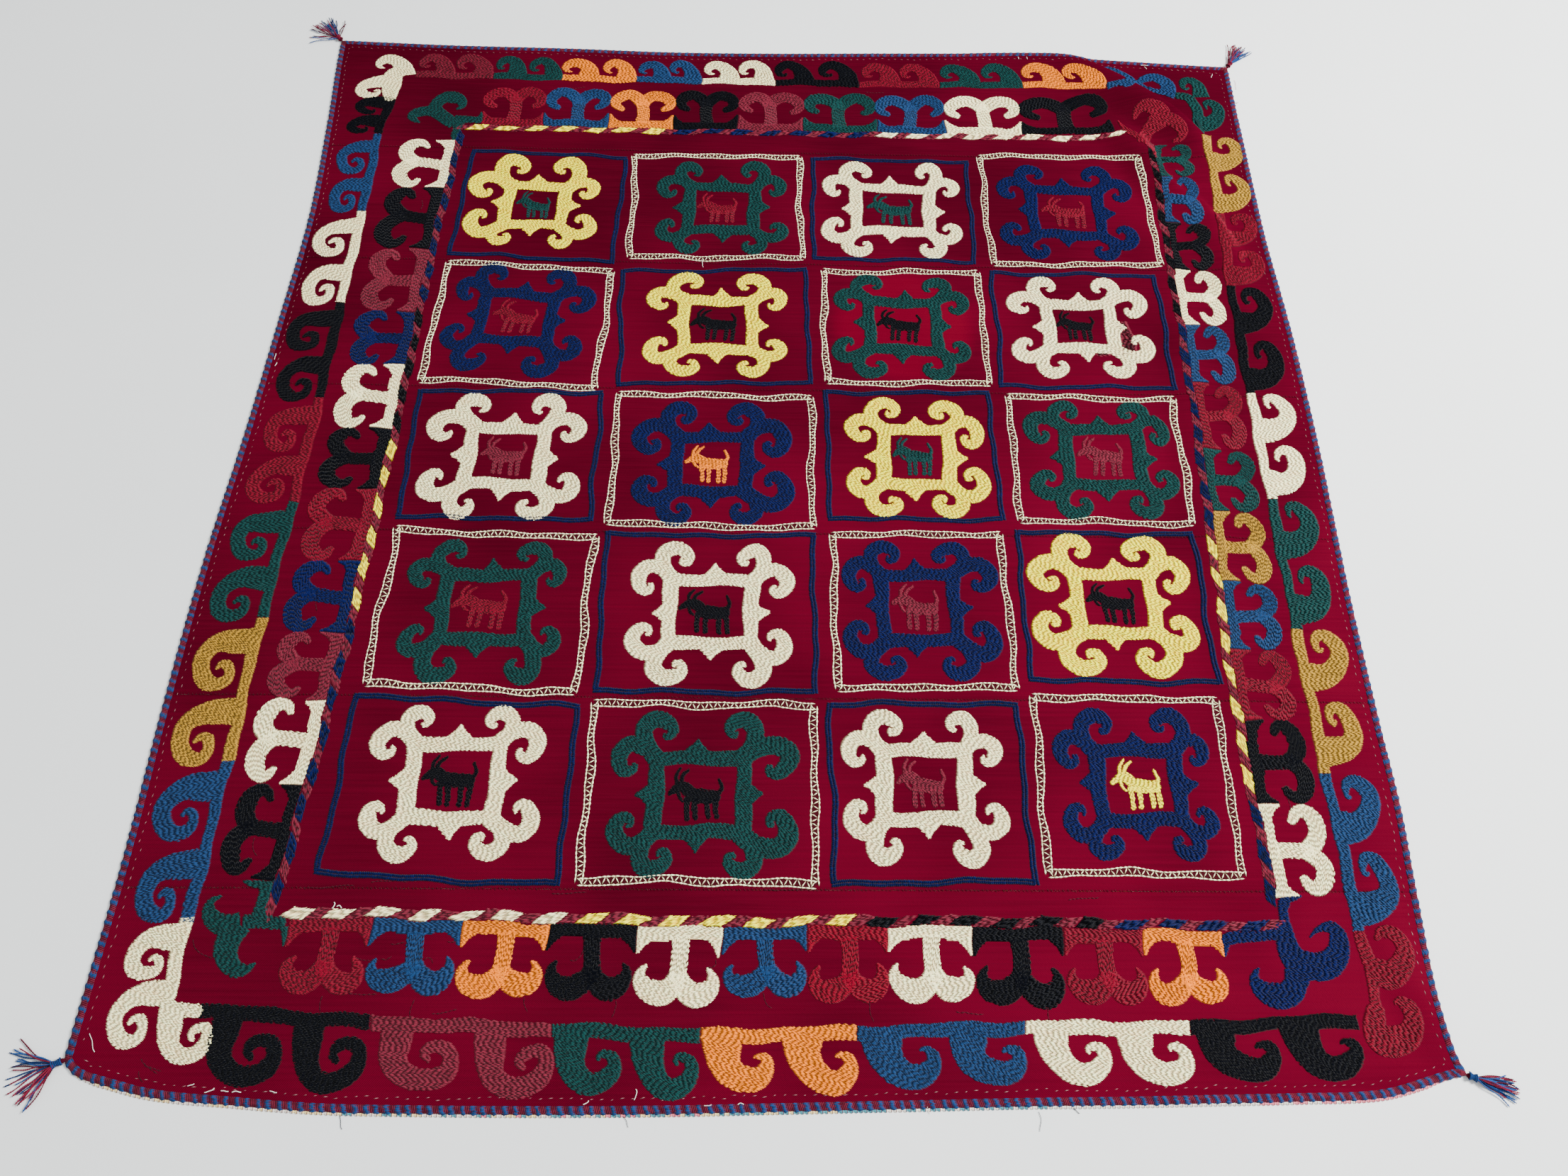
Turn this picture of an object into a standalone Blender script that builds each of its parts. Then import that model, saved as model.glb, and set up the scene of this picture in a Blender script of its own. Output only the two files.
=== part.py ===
"""Embroidered wool hanging, lying face up on a floor.

Seven loom strips are sewn edge to edge and laid on one printed cotton lining. A whipped braid runs
round the edge, and a yarn tassel is tied to each corner. The cloth lies flat but for a few soft folds,
the largest at its top right corner. Sizes are in millimetres and are turned into metres at the end.
"""

import math

import bmesh
import bpy
from mathutils import Vector

MM = 0.001

# Sheets, from the floor up
LINING_THICK = 1.0
WOOL_THICK = 1.5
GAP = 0.3
BRAID_WIDTH = 9.5
BRAID_HEIGHT = 3.0
# The braid's rounded section: share of its width, share of its height
BRAID_SECTION = ((0.0, 0.0), (1.0, 0.0), (1.0, 0.55), (0.76, 1.0), (0.24, 1.0), (0.0, 0.55))

# The design is laid out from the middle of the embroidered field, and this puts the middle of the
# whole object's box at the origin
SHIFT_X = 41.8
SHIFT_Y = -36.9

# Corners of the cloth's outline
TOP_LEFT = (-868.0, 930.0)
TOP_RIGHT = (816.0, 903.0)
BOTTOM_RIGHT = (792.0, -884.0)
BOTTOM_LEFT = (-888.0, -868.0)

# How far each edge swells past the straight line between its corners, at equal steps along it:
# top and bottom from left to right, left and right from bottom to top
TOP_SWELL = (0.0, -4.0, -3.0, -7.0, -3.0, 7.0, 12.0, 1.0, 0.0)
BOTTOM_SWELL = (0.0, 41.0, 53.0, 53.0, 48.0, 42.0, 37.0, 29.0, 0.0)
LEFT_SWELL = (0.0, -5.0, -3.0, -5.0, -15.0, -21.0, -26.0, -15.0, 0.0)
RIGHT_SWELL = (0.0, -9.0, -5.0, -4.0, 2.0, 3.0, -4.0, -3.0, 0.0)

# The lining's rolled rim shows under the bottom edge
RIM_OUT = 2.5
RIM_FADE = 12.0

# Seams between the loom strips
STRIP_COUNT = 7
FIRST_SEAM = 653.0
STRIP_WIDTH = 263.4

# Rows of the grid in each strip, from the top one down: small where the big folds are
STRIP_ROWS = (17, 16, 6, 4, 3, 3, 4)

# Columns of the grid: (where the stretch ends, as a share of the width, and how many columns it has)
COLUMN_STRETCHES = ((0.02, 1), (0.06, 1), (0.12, 1), (0.72, 5), (1.0, 27))

# Folds. Each is a soft ridge along a crest: x, y, height, width down its left side, width down its right
# side, as seen by someone who walks the crest from its first row to its last
FOLDS = {
    "corner_ridge": (
        (400.0, 962.0, 8.0, 46.0, 120.0),
        (495.0, 914.0, 14.0, 40.0, 104.0),
        (543.0, 888.0, 18.0, 34.0, 92.0),
        (580.0, 858.0, 22.0, 30.0, 84.0),
        (628.0, 813.0, 26.0, 28.0, 78.0),
        (670.0, 774.0, 26.0, 28.0, 70.0),
        (702.0, 735.0, 23.0, 30.0, 62.0),
        (724.0, 694.0, 17.0, 34.0, 58.0),
        (738.0, 645.0, 8.0, 40.0, 56.0),
        (742.0, 590.0, 0.0, 40.0, 56.0),
    ),
    "guard_ridge": (
        (470.0, 800.0, 0.0, 40.0, 60.0),
        (544.0, 755.0, 9.0, 36.0, 64.0),
        (592.0, 720.0, 14.0, 32.0, 66.0),
        (622.0, 672.0, 15.0, 30.0, 66.0),
        (636.0, 612.0, 17.0, 28.0, 66.0),
        (662.0, 566.0, 20.0, 26.0, 70.0),
        (692.0, 540.0, 21.0, 26.0, 74.0),
        (712.0, 505.0, 20.0, 27.0, 72.0),
        (728.0, 460.0, 16.0, 30.0, 66.0),
        (738.0, 405.0, 9.0, 36.0, 60.0),
        (736.0, 320.0, 0.0, 40.0, 60.0),
    ),
    "guard_swell": (
        (634.0, 420.0, 0.0, 50.0, 50.0),
        (624.0, 250.0, 5.0, 54.0, 54.0),
        (614.0, 0.0, 5.0, 56.0, 56.0),
        (606.0, -240.0, 5.0, 54.0, 54.0),
        (600.0, -480.0, 0.0, 50.0, 50.0),
    ),
    "corner_pull": (
        (724.0, -600.0, 0.0, 50.0, 50.0),
        (742.0, -730.0, 5.0, 46.0, 50.0),
        (762.0, -815.0, 6.0, 34.0, 50.0),
        (800.0, -900.0, 0.0, 30.0, 40.0),
    ),
}
CREST_STEPS = 6

# Tassels: the corner that each is tied to, the way it points (degrees from +X), how wide its yarns fan
# out (degrees) and its longest yarn
TASSELS = {
    "tassel_top_left": (TOP_LEFT, 133.0, 68.0, 76.0),
    "tassel_top_right": (TOP_RIGHT, 54.0, 56.0, 62.0),
    "tassel_bottom_right": (BOTTOM_RIGHT, -16.0, 46.0, 64.0),
    "tassel_bottom_left": (BOTTOM_LEFT, 204.0, 76.0, 70.0),
}
YARN_COLUMNS = 10
YARN_CELL = 2.0
YARN_PAD = 0.2
YARN_STEPS = 4
YARN_TIP = 0.7
# Yarns differ in length by this share, and each sways by an angle (radians) with its own beat
YARN_UNEVEN = 0.28
LENGTH_BEAT = 2.1
YARN_SWAY = 0.05
SWAY_BEAT = 1.7
SWAY_LENGTH = 14.0
# Where the upper yarns start down between the lower ones, and over how long a stretch
DROP_START = 30.0
DROP_STRETCH = 22.0
# Head of a tassel from its skirt back to its tie: distance in from the skirt, share of the skirt's
# width, share of its height
HEAD_SECTIONS = ((4.0, 0.62, 0.96), (7.0, 0.34, 0.8), (9.0, 0.42, 0.9), (12.0, 0.28, 0.7))

# Colours
CRIMSON = (0.19, 0.004, 0.022)
COTTON = (0.62, 0.22, 0.2)
BRAID_BLUE = (0.05, 0.09, 0.3)
YARN_MIX = (0.1, 0.06, 0.2)


def clear_scene():
    for item in list(bpy.data.objects):
        bpy.data.objects.remove(item, do_unlink=True)


def wool_material(name, colour, roughness):
    material = bpy.data.materials.new(name)
    material.use_nodes = True
    shader = material.node_tree.nodes["Principled BSDF"]
    shader.inputs["Base Color"].default_value = (*colour, 1.0)
    shader.inputs["Roughness"].default_value = roughness
    shader.inputs["Metallic"].default_value = 0.0
    return material


def curve_at(a, b, c, d, t):
    """Catmull-Rom curve from b to c, at t between 0 and 1."""
    return 0.5 * (2 * b + (c - a) * t + (2 * a - 5 * b + 4 * c - d) * t * t
                  + (3 * b - a - 3 * c + d) * t ** 3)


def swell_at(table, share):
    """Reads a table of equal steps at a share of the way along, on a smooth curve."""
    last = len(table) - 1
    place = min(max(share, 0.0), 1.0) * last
    step = min(int(place), last - 1)
    before = table[max(step - 1, 0)]
    after = table[min(step + 2, last)]
    return curve_at(before, table[step], table[step + 1], after, place - step)


def edge_across(x, start, end, table, outward):
    """Height y of the top or bottom edge at x."""
    share = (x - start[0]) / (end[0] - start[0])
    return start[1] + (end[1] - start[1]) * share + outward * swell_at(table, share)


def edge_along(y, start, end, table, outward):
    """Place x of the left or right edge at y."""
    share = (y - start[1]) / (end[1] - start[1])
    return start[0] + (end[0] - start[0]) * share + outward * swell_at(table, share)


def top_edge(x):
    return edge_across(x, TOP_LEFT, TOP_RIGHT, TOP_SWELL, 1)


def bottom_edge(x):
    return edge_across(x, BOTTOM_LEFT, BOTTOM_RIGHT, BOTTOM_SWELL, -1)


def left_edge(y):
    return edge_along(y, BOTTOM_LEFT, TOP_LEFT, LEFT_SWELL, -1)


def right_edge(y):
    return edge_along(y, BOTTOM_RIGHT, TOP_RIGHT, RIGHT_SWELL, 1)


def fine_crest(rows):
    """A crest's rows with smooth steps between them."""
    points = []
    for number in range(len(rows) - 1):
        before = rows[max(number - 1, 0)]
        after = rows[min(number + 2, len(rows) - 1)]
        for step in range(CREST_STEPS):
            share = step / CREST_STEPS
            points.append([curve_at(a, b, c, d, share)
                           for a, b, c, d in zip(before, rows[number], rows[number + 1], after)])
    points.append(list(rows[-1]))
    return points


CRESTS = [fine_crest(rows) for rows in FOLDS.values()]


def lift(x, y):
    """How far the cloth's underside is off the floor at a place."""
    total = 0.0
    for crest in CRESTS:
        best = None
        for first, second in zip(crest, crest[1:]):
            along_x = second[0] - first[0]
            along_y = second[1] - first[1]
            length_squared = along_x ** 2 + along_y ** 2
            share = ((x - first[0]) * along_x + (y - first[1]) * along_y) / length_squared
            share = min(max(share, 0.0), 1.0)
            away_x = x - first[0] - along_x * share
            away_y = y - first[1] - along_y * share
            distance = math.hypot(away_x, away_y)
            if best is None or distance < best[0]:
                on_left = along_x * away_y - along_y * away_x > 0
                height, left, right = (first[k] + (second[k] - first[k]) * share for k in (2, 3, 4))
                best = (distance, max(height, 0.0), left if on_left else right)
        distance, height, width = best
        if distance < width:
            total += height * 0.5 * (1 + math.cos(math.pi * distance / width))
    return total


def column_shares():
    shares = [0.0]
    for end, count in COLUMN_STRETCHES:
        start = shares[-1]
        shares += [start + (end - start) * (k + 1) / count for k in range(count)]
    return shares


COLUMNS = column_shares()


def row_lines(strip, inset):
    """The rows of one strip, each as (line below, line above, share), where a line gives y at x."""
    high_seam = FIRST_SEAM - STRIP_WIDTH * (strip - 1)
    low_seam = FIRST_SEAM - STRIP_WIDTH * strip

    def high(x):
        return top_edge(x) - inset if strip == 0 else high_seam - GAP / 2

    def low(x):
        return bottom_edge(x) + inset if strip == STRIP_COUNT - 1 else low_seam + GAP / 2

    count = STRIP_ROWS[strip]
    return [(high, low, row / count) for row in range(count + 1)]


def grid_point(column, line, inset):
    """A place on the cloth from its column share and its row line."""
    high, low, share = line
    x = BOTTOM_LEFT[0] * (1 - column) + BOTTOM_RIGHT[0] * column
    y = high(x) * (1 - share) + low(x) * share
    left = left_edge(y) + inset
    right = right_edge(y) - inset
    x = left * (1 - column) + right * column
    y = high(x) * (1 - share) + low(x) * share
    return x, y


def strip_grid(strip):
    inset = BRAID_WIDTH + GAP
    return [[grid_point(column, line, inset) for column in COLUMNS]
            for line in row_lines(strip, inset)]


def sheet_mesh(name, rows, bottom, thick):
    """A closed sheet over a grid of places: the grid is laid at its height and extruded up."""
    shape = bmesh.new()
    points = [[shape.verts.new((x, y, lift(x, y) + bottom)) for x, y in row] for row in rows]
    for upper, lower in zip(points, points[1:]):
        for k in range(len(upper) - 1):
            shape.faces.new((upper[k], upper[k + 1], lower[k + 1], lower[k]))
    bmesh.ops.triangulate(shape, faces=shape.faces[:], quad_method="FIXED")
    result = bmesh.ops.extrude_face_region(shape, geom=shape.faces[:], use_keep_orig=True)
    raised = [item for item in result["geom"] if isinstance(item, bmesh.types.BMVert)]
    bmesh.ops.translate(shape, verts=raised, vec=(0, 0, thick))
    return finish_mesh(name, shape)


def finish_mesh(name, shape):
    """Turns a closed shape's faces outwards, puts it in place, in metres, and writes it to a mesh."""
    bmesh.ops.recalc_face_normals(shape, faces=shape.faces[:])
    if shape.calc_volume(signed=True) < 0:
        bmesh.ops.reverse_faces(shape, faces=shape.faces[:])
    bmesh.ops.translate(shape, verts=shape.verts[:], vec=(SHIFT_X, SHIFT_Y, 0))
    bmesh.ops.scale(shape, verts=shape.verts[:], vec=(MM, MM, MM))
    mesh = bpy.data.meshes.new(name)
    shape.to_mesh(mesh)
    shape.free()
    return mesh


def add_object(name, mesh, material, parent):
    mesh.materials.append(material)
    item = bpy.data.objects.new(name, mesh)
    bpy.context.scene.collection.objects.link(item)
    item.parent = parent
    return item


def inner_rows():
    """All strips' rows as one grid, with each seam's row once."""
    rows = strip_grid(0)
    for strip in range(1, STRIP_COUNT):
        rows += strip_grid(strip)[1:]
    return rows


def rim_at(x):
    """The lining's rim past the bottom edge: none at the corners, where the tassels are tied."""
    share = (x - BOTTOM_LEFT[0]) / (BOTTOM_RIGHT[0] - BOTTOM_LEFT[0])
    return RIM_OUT * min(1.0, RIM_FADE * share * (1 - share))


def outer_ring(inner):
    """The outline's own places beside the inner grid's edge, as four runs and four corners."""
    top = [(x, top_edge(x)) for x, _ in inner[0]]
    bottom = [(x, bottom_edge(x)) for x, _ in inner[-1]]
    left = [(left_edge(row[0][1]), row[0][1]) for row in inner]
    right = [(right_edge(row[-1][1]), row[-1][1]) for row in inner]
    return top, bottom, left, right


def lining_grid():
    inner = inner_rows()
    top, bottom, left, right = outer_ring(inner)
    rim = [(x, y - rim_at(x)) for x, y in bottom]
    rows = [[TOP_LEFT, *top, TOP_RIGHT]]
    rows += [[start, *row, end] for start, row, end in zip(left, inner, right)]
    rows.append([BOTTOM_LEFT, *rim, BOTTOM_RIGHT])
    return rows


def braid_section(inner, outer):
    """One cross-section of the braid, a low rounded band on the lining, between a place on the strips'
    edge and one on the outline."""
    first = GAP / (BRAID_WIDTH + GAP)
    section = []
    for share, height in BRAID_SECTION:
        across = first + (1 - first) * share
        x = inner[0] + (outer[0] - inner[0]) * across
        y = inner[1] + (outer[1] - inner[1]) * across
        ground = lift(*inner) + (lift(*outer) - lift(*inner)) * across + LINING_THICK + GAP
        section.append((x, y, ground + BRAID_HEIGHT * height))
    return section


def pulled_in(ends, neighbour):
    """Moves an end of a run a little towards its neighbour, so that mitred braids keep their gap."""
    moved = []
    for place, near in zip(ends, neighbour):
        way = Vector(near) - Vector(place)
        moved.append(tuple(Vector(place) + way.normalized() * GAP))
    return tuple(moved)


def braid_mesh(name, pairs, outer_first):
    """A band through pairs of inner and outer places, capped at both ends. Its faces are cut along the
    same diagonals as the lining's beneath it."""
    pairs = list(pairs)
    pairs[0] = pulled_in(pairs[0], pairs[1])
    pairs[-1] = pulled_in(pairs[-1], pairs[-2])
    shape = bmesh.new()
    loops = [[shape.verts.new(point) for point in braid_section(*pair)] for pair in pairs]
    sides = len(loops[0])
    for first, second in zip(loops, loops[1:]):
        for k in range(sides):
            after = (k + 1) % sides
            corners = [first[k], first[after], second[after], second[k]]
            if outer_first:
                corners = corners[1:] + corners[:1]
            shape.faces.new(corners)
    shape.faces.new(loops[0])
    shape.faces.new(loops[-1])
    bmesh.ops.triangulate(shape, faces=shape.faces[:], quad_method="FIXED")
    return finish_mesh(name, shape)


def braid_runs():
    """Pairs of inner and outer places of the four braids, and which way their faces are cut."""
    inner = inner_rows()
    top, bottom, left, right = outer_ring(inner)
    top_left = (inner[0][0], TOP_LEFT)
    top_right = (inner[0][-1], TOP_RIGHT)
    bottom_right = (inner[-1][-1], BOTTOM_RIGHT)
    bottom_left = (inner[-1][0], BOTTOM_LEFT)
    left_in = [row[0] for row in inner]
    right_in = [row[-1] for row in inner]
    return {
        "braid_top": ([top_left, *zip(inner[0], top), top_right], True),
        "braid_bottom": ([bottom_left, *zip(inner[-1], bottom), bottom_right], False),
        "braid_left": ([top_left, *zip(left_in, left), bottom_left], True),
        "braid_right": ([top_right, *zip(right_in, right), bottom_right], False),
    }


def yarn_height(upper, reach):
    """Height of a yarn's middle off the floor at a distance out. Upper yarns come down between the
    lower ones once the fan has opened wide enough for them."""
    low = YARN_CELL / 2
    if not upper:
        return low
    drop = min(max((reach - DROP_START) / DROP_STRETCH, 0.0), 1.0)
    return low + YARN_CELL * (1 - drop * drop * (3 - 2 * drop))


def tassel_mesh(name, corner, pointing, fan, longest):
    """A tassel: a grid of cells makes the skirt, the head is extruded back from it and each cell
    is inset and drawn out into a four-sided yarn."""
    shape = bmesh.new()
    width = YARN_COLUMNS * YARN_CELL
    height = 2 * YARN_CELL
    head_length = HEAD_SECTIONS[-1][0]
    bmesh.ops.create_grid(shape, x_segments=YARN_COLUMNS, y_segments=2, size=0.5)
    bmesh.ops.scale(shape, verts=shape.verts[:], vec=(width, height, 1))
    for point in shape.verts:
        side, up, _ = point.co
        point.co = (head_length, side, up + height / 2)
    skirt = shape.faces[:]

    back = skirt
    for distance, wide, tall in HEAD_SECTIONS:
        result = bmesh.ops.extrude_face_region(shape, geom=back, use_keep_orig=True)
        if back is not skirt:
            bmesh.ops.delete(shape, geom=back, context="FACES")
        moved = [item for item in result["geom"] if isinstance(item, bmesh.types.BMVert)]
        back = [item for item in result["geom"] if isinstance(item, bmesh.types.BMFace)]
        sides = [point.co.y for point in moved]
        ups = [point.co.z for point in moved]
        for point in moved:
            point.co.x = head_length - distance
            point.co.y *= wide * width / (max(sides) - min(sides))
            point.co.z *= tall * height / max(ups)

    cells = sorted(skirt, key=lambda face: (round(face.calc_center_median().z, 3),
                                            face.calc_center_median().y))
    bmesh.ops.inset_individual(shape, faces=cells, thickness=YARN_PAD, use_even_offset=True)
    half_fan = math.radians(fan) / 2
    step = math.radians(fan) / (YARN_COLUMNS - 1)
    for number, cell in enumerate(cells):
        upper = number >= YARN_COLUMNS
        column = number % YARN_COLUMNS
        angle = step * column - half_fan + (step / 2 if upper else 0.0)
        start = cell.calc_center_median().copy()
        shorter = YARN_UNEVEN * 0.5 * (1 - math.cos(LENGTH_BEAT * number + pointing))
        length = longest * (1 - shorter) - head_length
        half = YARN_CELL / 2 - YARN_PAD
        face = cell
        for ring in range(1, YARN_STEPS + 1):
            reach = length * ring / YARN_STEPS
            bend = YARN_SWAY * math.sin(SWAY_BEAT * number + reach / SWAY_LENGTH)
            way = Vector((math.cos(angle + bend), math.sin(angle + bend), 0))
            aside = Vector((-way.y, way.x, 0))
            place = start + way * reach
            place.z = yarn_height(upper, reach + head_length)
            size = half * (YARN_TIP if ring == YARN_STEPS else 1.0)
            middle = face.calc_center_median().copy()
            result = bmesh.ops.extrude_discrete_faces(shape, faces=[face])
            face = result["faces"][0]
            for vert in face.verts:
                old = vert.co - middle
                out_side = 1 if old.dot(aside) > 0 else -1
                out_up = 1 if old.z > 0 else -1
                vert.co = place + aside * size * out_side + Vector((0, 0, half * out_up))

    turn = math.radians(pointing)
    forward = Vector((math.cos(turn), math.sin(turn), 0))
    aside = Vector((-forward.y, forward.x, 0))
    for point in shape.verts:
        along = point.co.x + GAP
        place = Vector((corner[0], corner[1], 0)) + forward * along + aside * point.co.y
        point.co = (place.x, place.y, point.co.z)
    return finish_mesh(name, shape)


def build():
    clear_scene()
    hanging = bpy.data.objects.new("hanging", None)
    bpy.context.scene.collection.objects.link(hanging)

    crimson = wool_material("crimson_wool", CRIMSON, 0.9)
    cotton = wool_material("printed_cotton", COTTON, 0.85)
    braid = wool_material("edge_braid", BRAID_BLUE, 0.85)
    yarn = wool_material("tassel_yarn", YARN_MIX, 0.85)

    add_object("lining", sheet_mesh("lining", lining_grid(), 0.0, LINING_THICK), cotton, hanging)
    for strip in range(STRIP_COUNT):
        name = f"loom_strip_{strip + 1}"
        mesh = sheet_mesh(name, strip_grid(strip), LINING_THICK + GAP, WOOL_THICK)
        add_object(name, mesh, crimson, hanging)
    for name, (pairs, outer_first) in braid_runs().items():
        add_object(name, braid_mesh(name, pairs, outer_first), braid, hanging)
    for name, row in TASSELS.items():
        add_object(name, tassel_mesh(name, *row), yarn, hanging)


build()
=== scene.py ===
# %% [markdown]
# # An embroidered wool hanging, laid on a floor
# Seven crimson loom strips are sewn edge to edge and lined. Wool stitches fill horned medallions, goats,
# scrolls and horned T figures, a whipped edge runs round it and a tassel hangs at each corner.
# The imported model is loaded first, because every piece made here lies on it.

import math

import bmesh
import bpy
import numpy as np
from mathutils import Matrix, Vector


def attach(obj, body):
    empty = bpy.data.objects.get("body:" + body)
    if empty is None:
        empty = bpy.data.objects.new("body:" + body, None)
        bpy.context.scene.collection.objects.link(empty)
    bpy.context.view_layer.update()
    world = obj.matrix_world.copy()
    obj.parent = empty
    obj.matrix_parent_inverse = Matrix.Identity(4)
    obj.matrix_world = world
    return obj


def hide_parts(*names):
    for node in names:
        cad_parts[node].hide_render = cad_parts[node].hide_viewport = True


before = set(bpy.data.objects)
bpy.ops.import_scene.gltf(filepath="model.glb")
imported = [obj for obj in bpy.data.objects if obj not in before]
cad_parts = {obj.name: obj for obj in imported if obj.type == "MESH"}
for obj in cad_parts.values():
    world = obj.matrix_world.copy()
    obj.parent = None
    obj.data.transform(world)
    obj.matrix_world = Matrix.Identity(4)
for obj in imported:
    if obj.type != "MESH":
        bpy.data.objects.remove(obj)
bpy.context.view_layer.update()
MM = 0.001
print("nodes:", ", ".join(sorted(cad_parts)))

# %% [markdown]
# ## The cloth's outline
# The hanging isn't quite square: its sides swell and sink a little between the corners. Each side is a
# straight run plus a short table of swells, read on a smooth curve, and the strips, the lining and the braid
# all ask the same function where the edge is.
# Sizes are millimetres from the middle of the embroidered field, and SHIFT takes them to the model's origin.

# %% Outline
SHIFT = np.array([41.8, -36.9])
TOP_LEFT = (-868.0, 930.0)
TOP_RIGHT = (816.0, 903.0)
BOTTOM_RIGHT = (792.0, -884.0)
BOTTOM_LEFT = (-888.0, -868.0)
SWELLS = {
    "top": (0, -4, -3, -5, 1, 11, 18, 9, 0),
    "bottom": (0, 36, 47, 53, 54, 54, 53, 51, 48, 45, 42, 39, 37, 34, 31, 25.5, 0),
    "left": (0, -5, -3, -5, -15, -21, -26, -15, 0),
    "right": (0, -9, -8, -3.5, -5, -5, -4, -1, 2, 3, 3, 0, -4, -4, -3, -2, 0),
}
# Two sides leave their first corner in a tighter curve: how far out, and how far along that is
ROUNDED = {"bottom": (13.0, 26.0), "right": (-9.0, 45.0)}
# Each edge's two corners, the axis it runs along (0 for x, 1 for y), and 1 or -1 as the outside is on the
# left or the right hand on the way from the first corner to the second
EDGES = {
    "top": (TOP_LEFT, TOP_RIGHT, 0, 1),
    "bottom": (BOTTOM_LEFT, BOTTOM_RIGHT, 0, -1),
    "left": (BOTTOM_LEFT, TOP_LEFT, 1, 1),
    "right": (BOTTOM_RIGHT, TOP_RIGHT, 1, -1),
}


def curve_at(a, b, c, d, t):
    return 0.5 * (2 * b + (c - a) * t + (2 * a - 5 * b + 4 * c - d) * t * t
                  + (3 * b - a - 3 * c + d) * t ** 3)


def table_at(table, share):
    """Reads a table of equal steps on a smooth curve, at shares of the way along."""
    table = np.asarray(table, float)
    last = len(table) - 1
    place = np.clip(share, 0, 1) * last
    step = np.minimum(place.astype(int), last - 1)
    before = table[np.maximum(step - 1, 0)]
    after = table[np.minimum(step + 2, last)]
    return curve_at(before, table[step], table[step + 1], after, place - step)


def swell(side, share, length):
    reach, soon = ROUNDED.get(side, (0.0, 1.0))
    along = np.clip(share, 0, 1) * length / soon
    return table_at(SWELLS[side], share) + reach * along * np.exp(1 - along)


def edge_at(side, place):
    """The x or y of an edge of the cloth, asked at places along the axis that it runs along."""
    start, end, axis, hand = EDGES[side]
    out = 1 - axis
    share = (np.asarray(place, float) - start[axis]) / (end[axis] - start[axis])
    outward = (hand if axis == 0 else -hand) * swell(side, share, math.dist(start, end))
    return start[out] + (end[out] - start[out]) * share + outward


def edge_distance(x, y):
    across = np.minimum(edge_at("top", x) - y, y - edge_at("bottom", x))
    return np.minimum(across, np.minimum(x - edge_at("left", y), edge_at("right", y) - x))


print("cloth (mm):", round(math.dist(TOP_LEFT, TOP_RIGHT)), "by", round(math.dist(TOP_LEFT, BOTTOM_LEFT)))

# %% [markdown]
# ## Folds
# Two soft ridges cross the top right corner, and the rest lies a little uneven. A fold is a table of points
# along its crest, with a height and a width to each side, and a cosine takes the lift down from there. A
# cloth simulation could make folds too, but not these ones. Every stitch asks how high its place is.

# %% Folds
# Rows of a crest: x, y, height, width down its far or left side, width down its near or right side
FOLDS = {
    "corner_ridge": (
        (400, 962, 4, 46, 120), (495, 914, 9, 40, 104), (543, 888, 15, 34, 92),
        (580, 858, 22, 30, 84), (628, 813, 26, 28, 78), (670, 774, 26, 28, 70),
        (702, 735, 23, 30, 62), (724, 694, 17, 34, 58), (738, 645, 8, 40, 56), (742, 590, 0, 40, 56),
    ),
    "guard_ridge": (
        (470, 800, 0, 40, 60), (544, 755, 9, 36, 64), (592, 720, 14, 32, 66), (622, 672, 15, 30, 66),
        (636, 612, 17, 28, 66), (662, 566, 20, 26, 70), (692, 540, 21, 26, 74), (712, 505, 20, 27, 72),
        (728, 460, 16, 30, 66), (738, 405, 9, 36, 60), (736, 320, 0, 40, 60),
    ),
    "guard_swell": (
        (634, 420, 0, 50, 50), (624, 250, 5, 54, 54), (614, 0, 5, 56, 56), (606, -240, 5, 54, 54),
        (600, -480, 0, 50, 50),
    ),
    "corner_pull": (
        (724, -600, 0, 50, 50), (742, -730, 5, 46, 50), (762, -815, 6, 34, 50), (800, -900, 0, 30, 40),
    ),
}
CREST_STEPS = 6
# Soft unevenness of laid cloth: wavelength (mm), direction (degrees), height (mm), start
RIPPLES = ((410, 12, 0.5, 0.4), (265, 97, 0.45, 2.1), (170, 48, 0.3, 4.0), (118, 140, 0.22, 1.2),
           (74, 20, 0.12, 3.1), (57, 110, 0.1, 5.0))
RIPPLE_RAISE = 1.0
EDGE_FLAT = 60.0
CAMERA_SPOT = (-71.4, -1017.2, 1517.1)
SETTLE_ROUNDS = 4


def smooth_rows(rows, steps):
    """A table's rows with smooth steps between them."""
    rows = np.array(rows, float)
    points = []
    for k in range(len(rows) - 1):
        before, after = rows[max(k - 1, 0)], rows[min(k + 2, len(rows) - 1)]
        points += [curve_at(before, rows[k], rows[k + 1], after, step / steps) for step in range(steps)]
    return np.array(points + [rows[-1]])


CRESTS = [smooth_rows(rows, CREST_STEPS) for rows in FOLDS.values()]


def fold_height(x, y, crest):
    best = np.full(x.shape, np.inf)
    height = np.zeros(x.shape)
    width = np.ones(x.shape)
    for first, second in zip(crest, crest[1:]):
        along = second[:2] - first[:2]
        share = np.clip(((x - first[0]) * along[0] + (y - first[1]) * along[1]) / (along @ along), 0, 1)
        away_x = x - first[0] - along[0] * share
        away_y = y - first[1] - along[1] * share
        distance = np.hypot(away_x, away_y)
        side = np.where(along[0] * away_y - along[1] * away_x > 0, 3, 4)
        nearer = distance < best
        best = np.where(nearer, distance, best)
        height = np.where(nearer, np.maximum(first[2] + (second[2] - first[2]) * share, 0), height)
        width = np.where(nearer, first[side] + (second[side] - first[side]) * share, width)
    return height * 0.5 * (1 + np.cos(np.pi * np.minimum(best / width, 1)))


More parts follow.
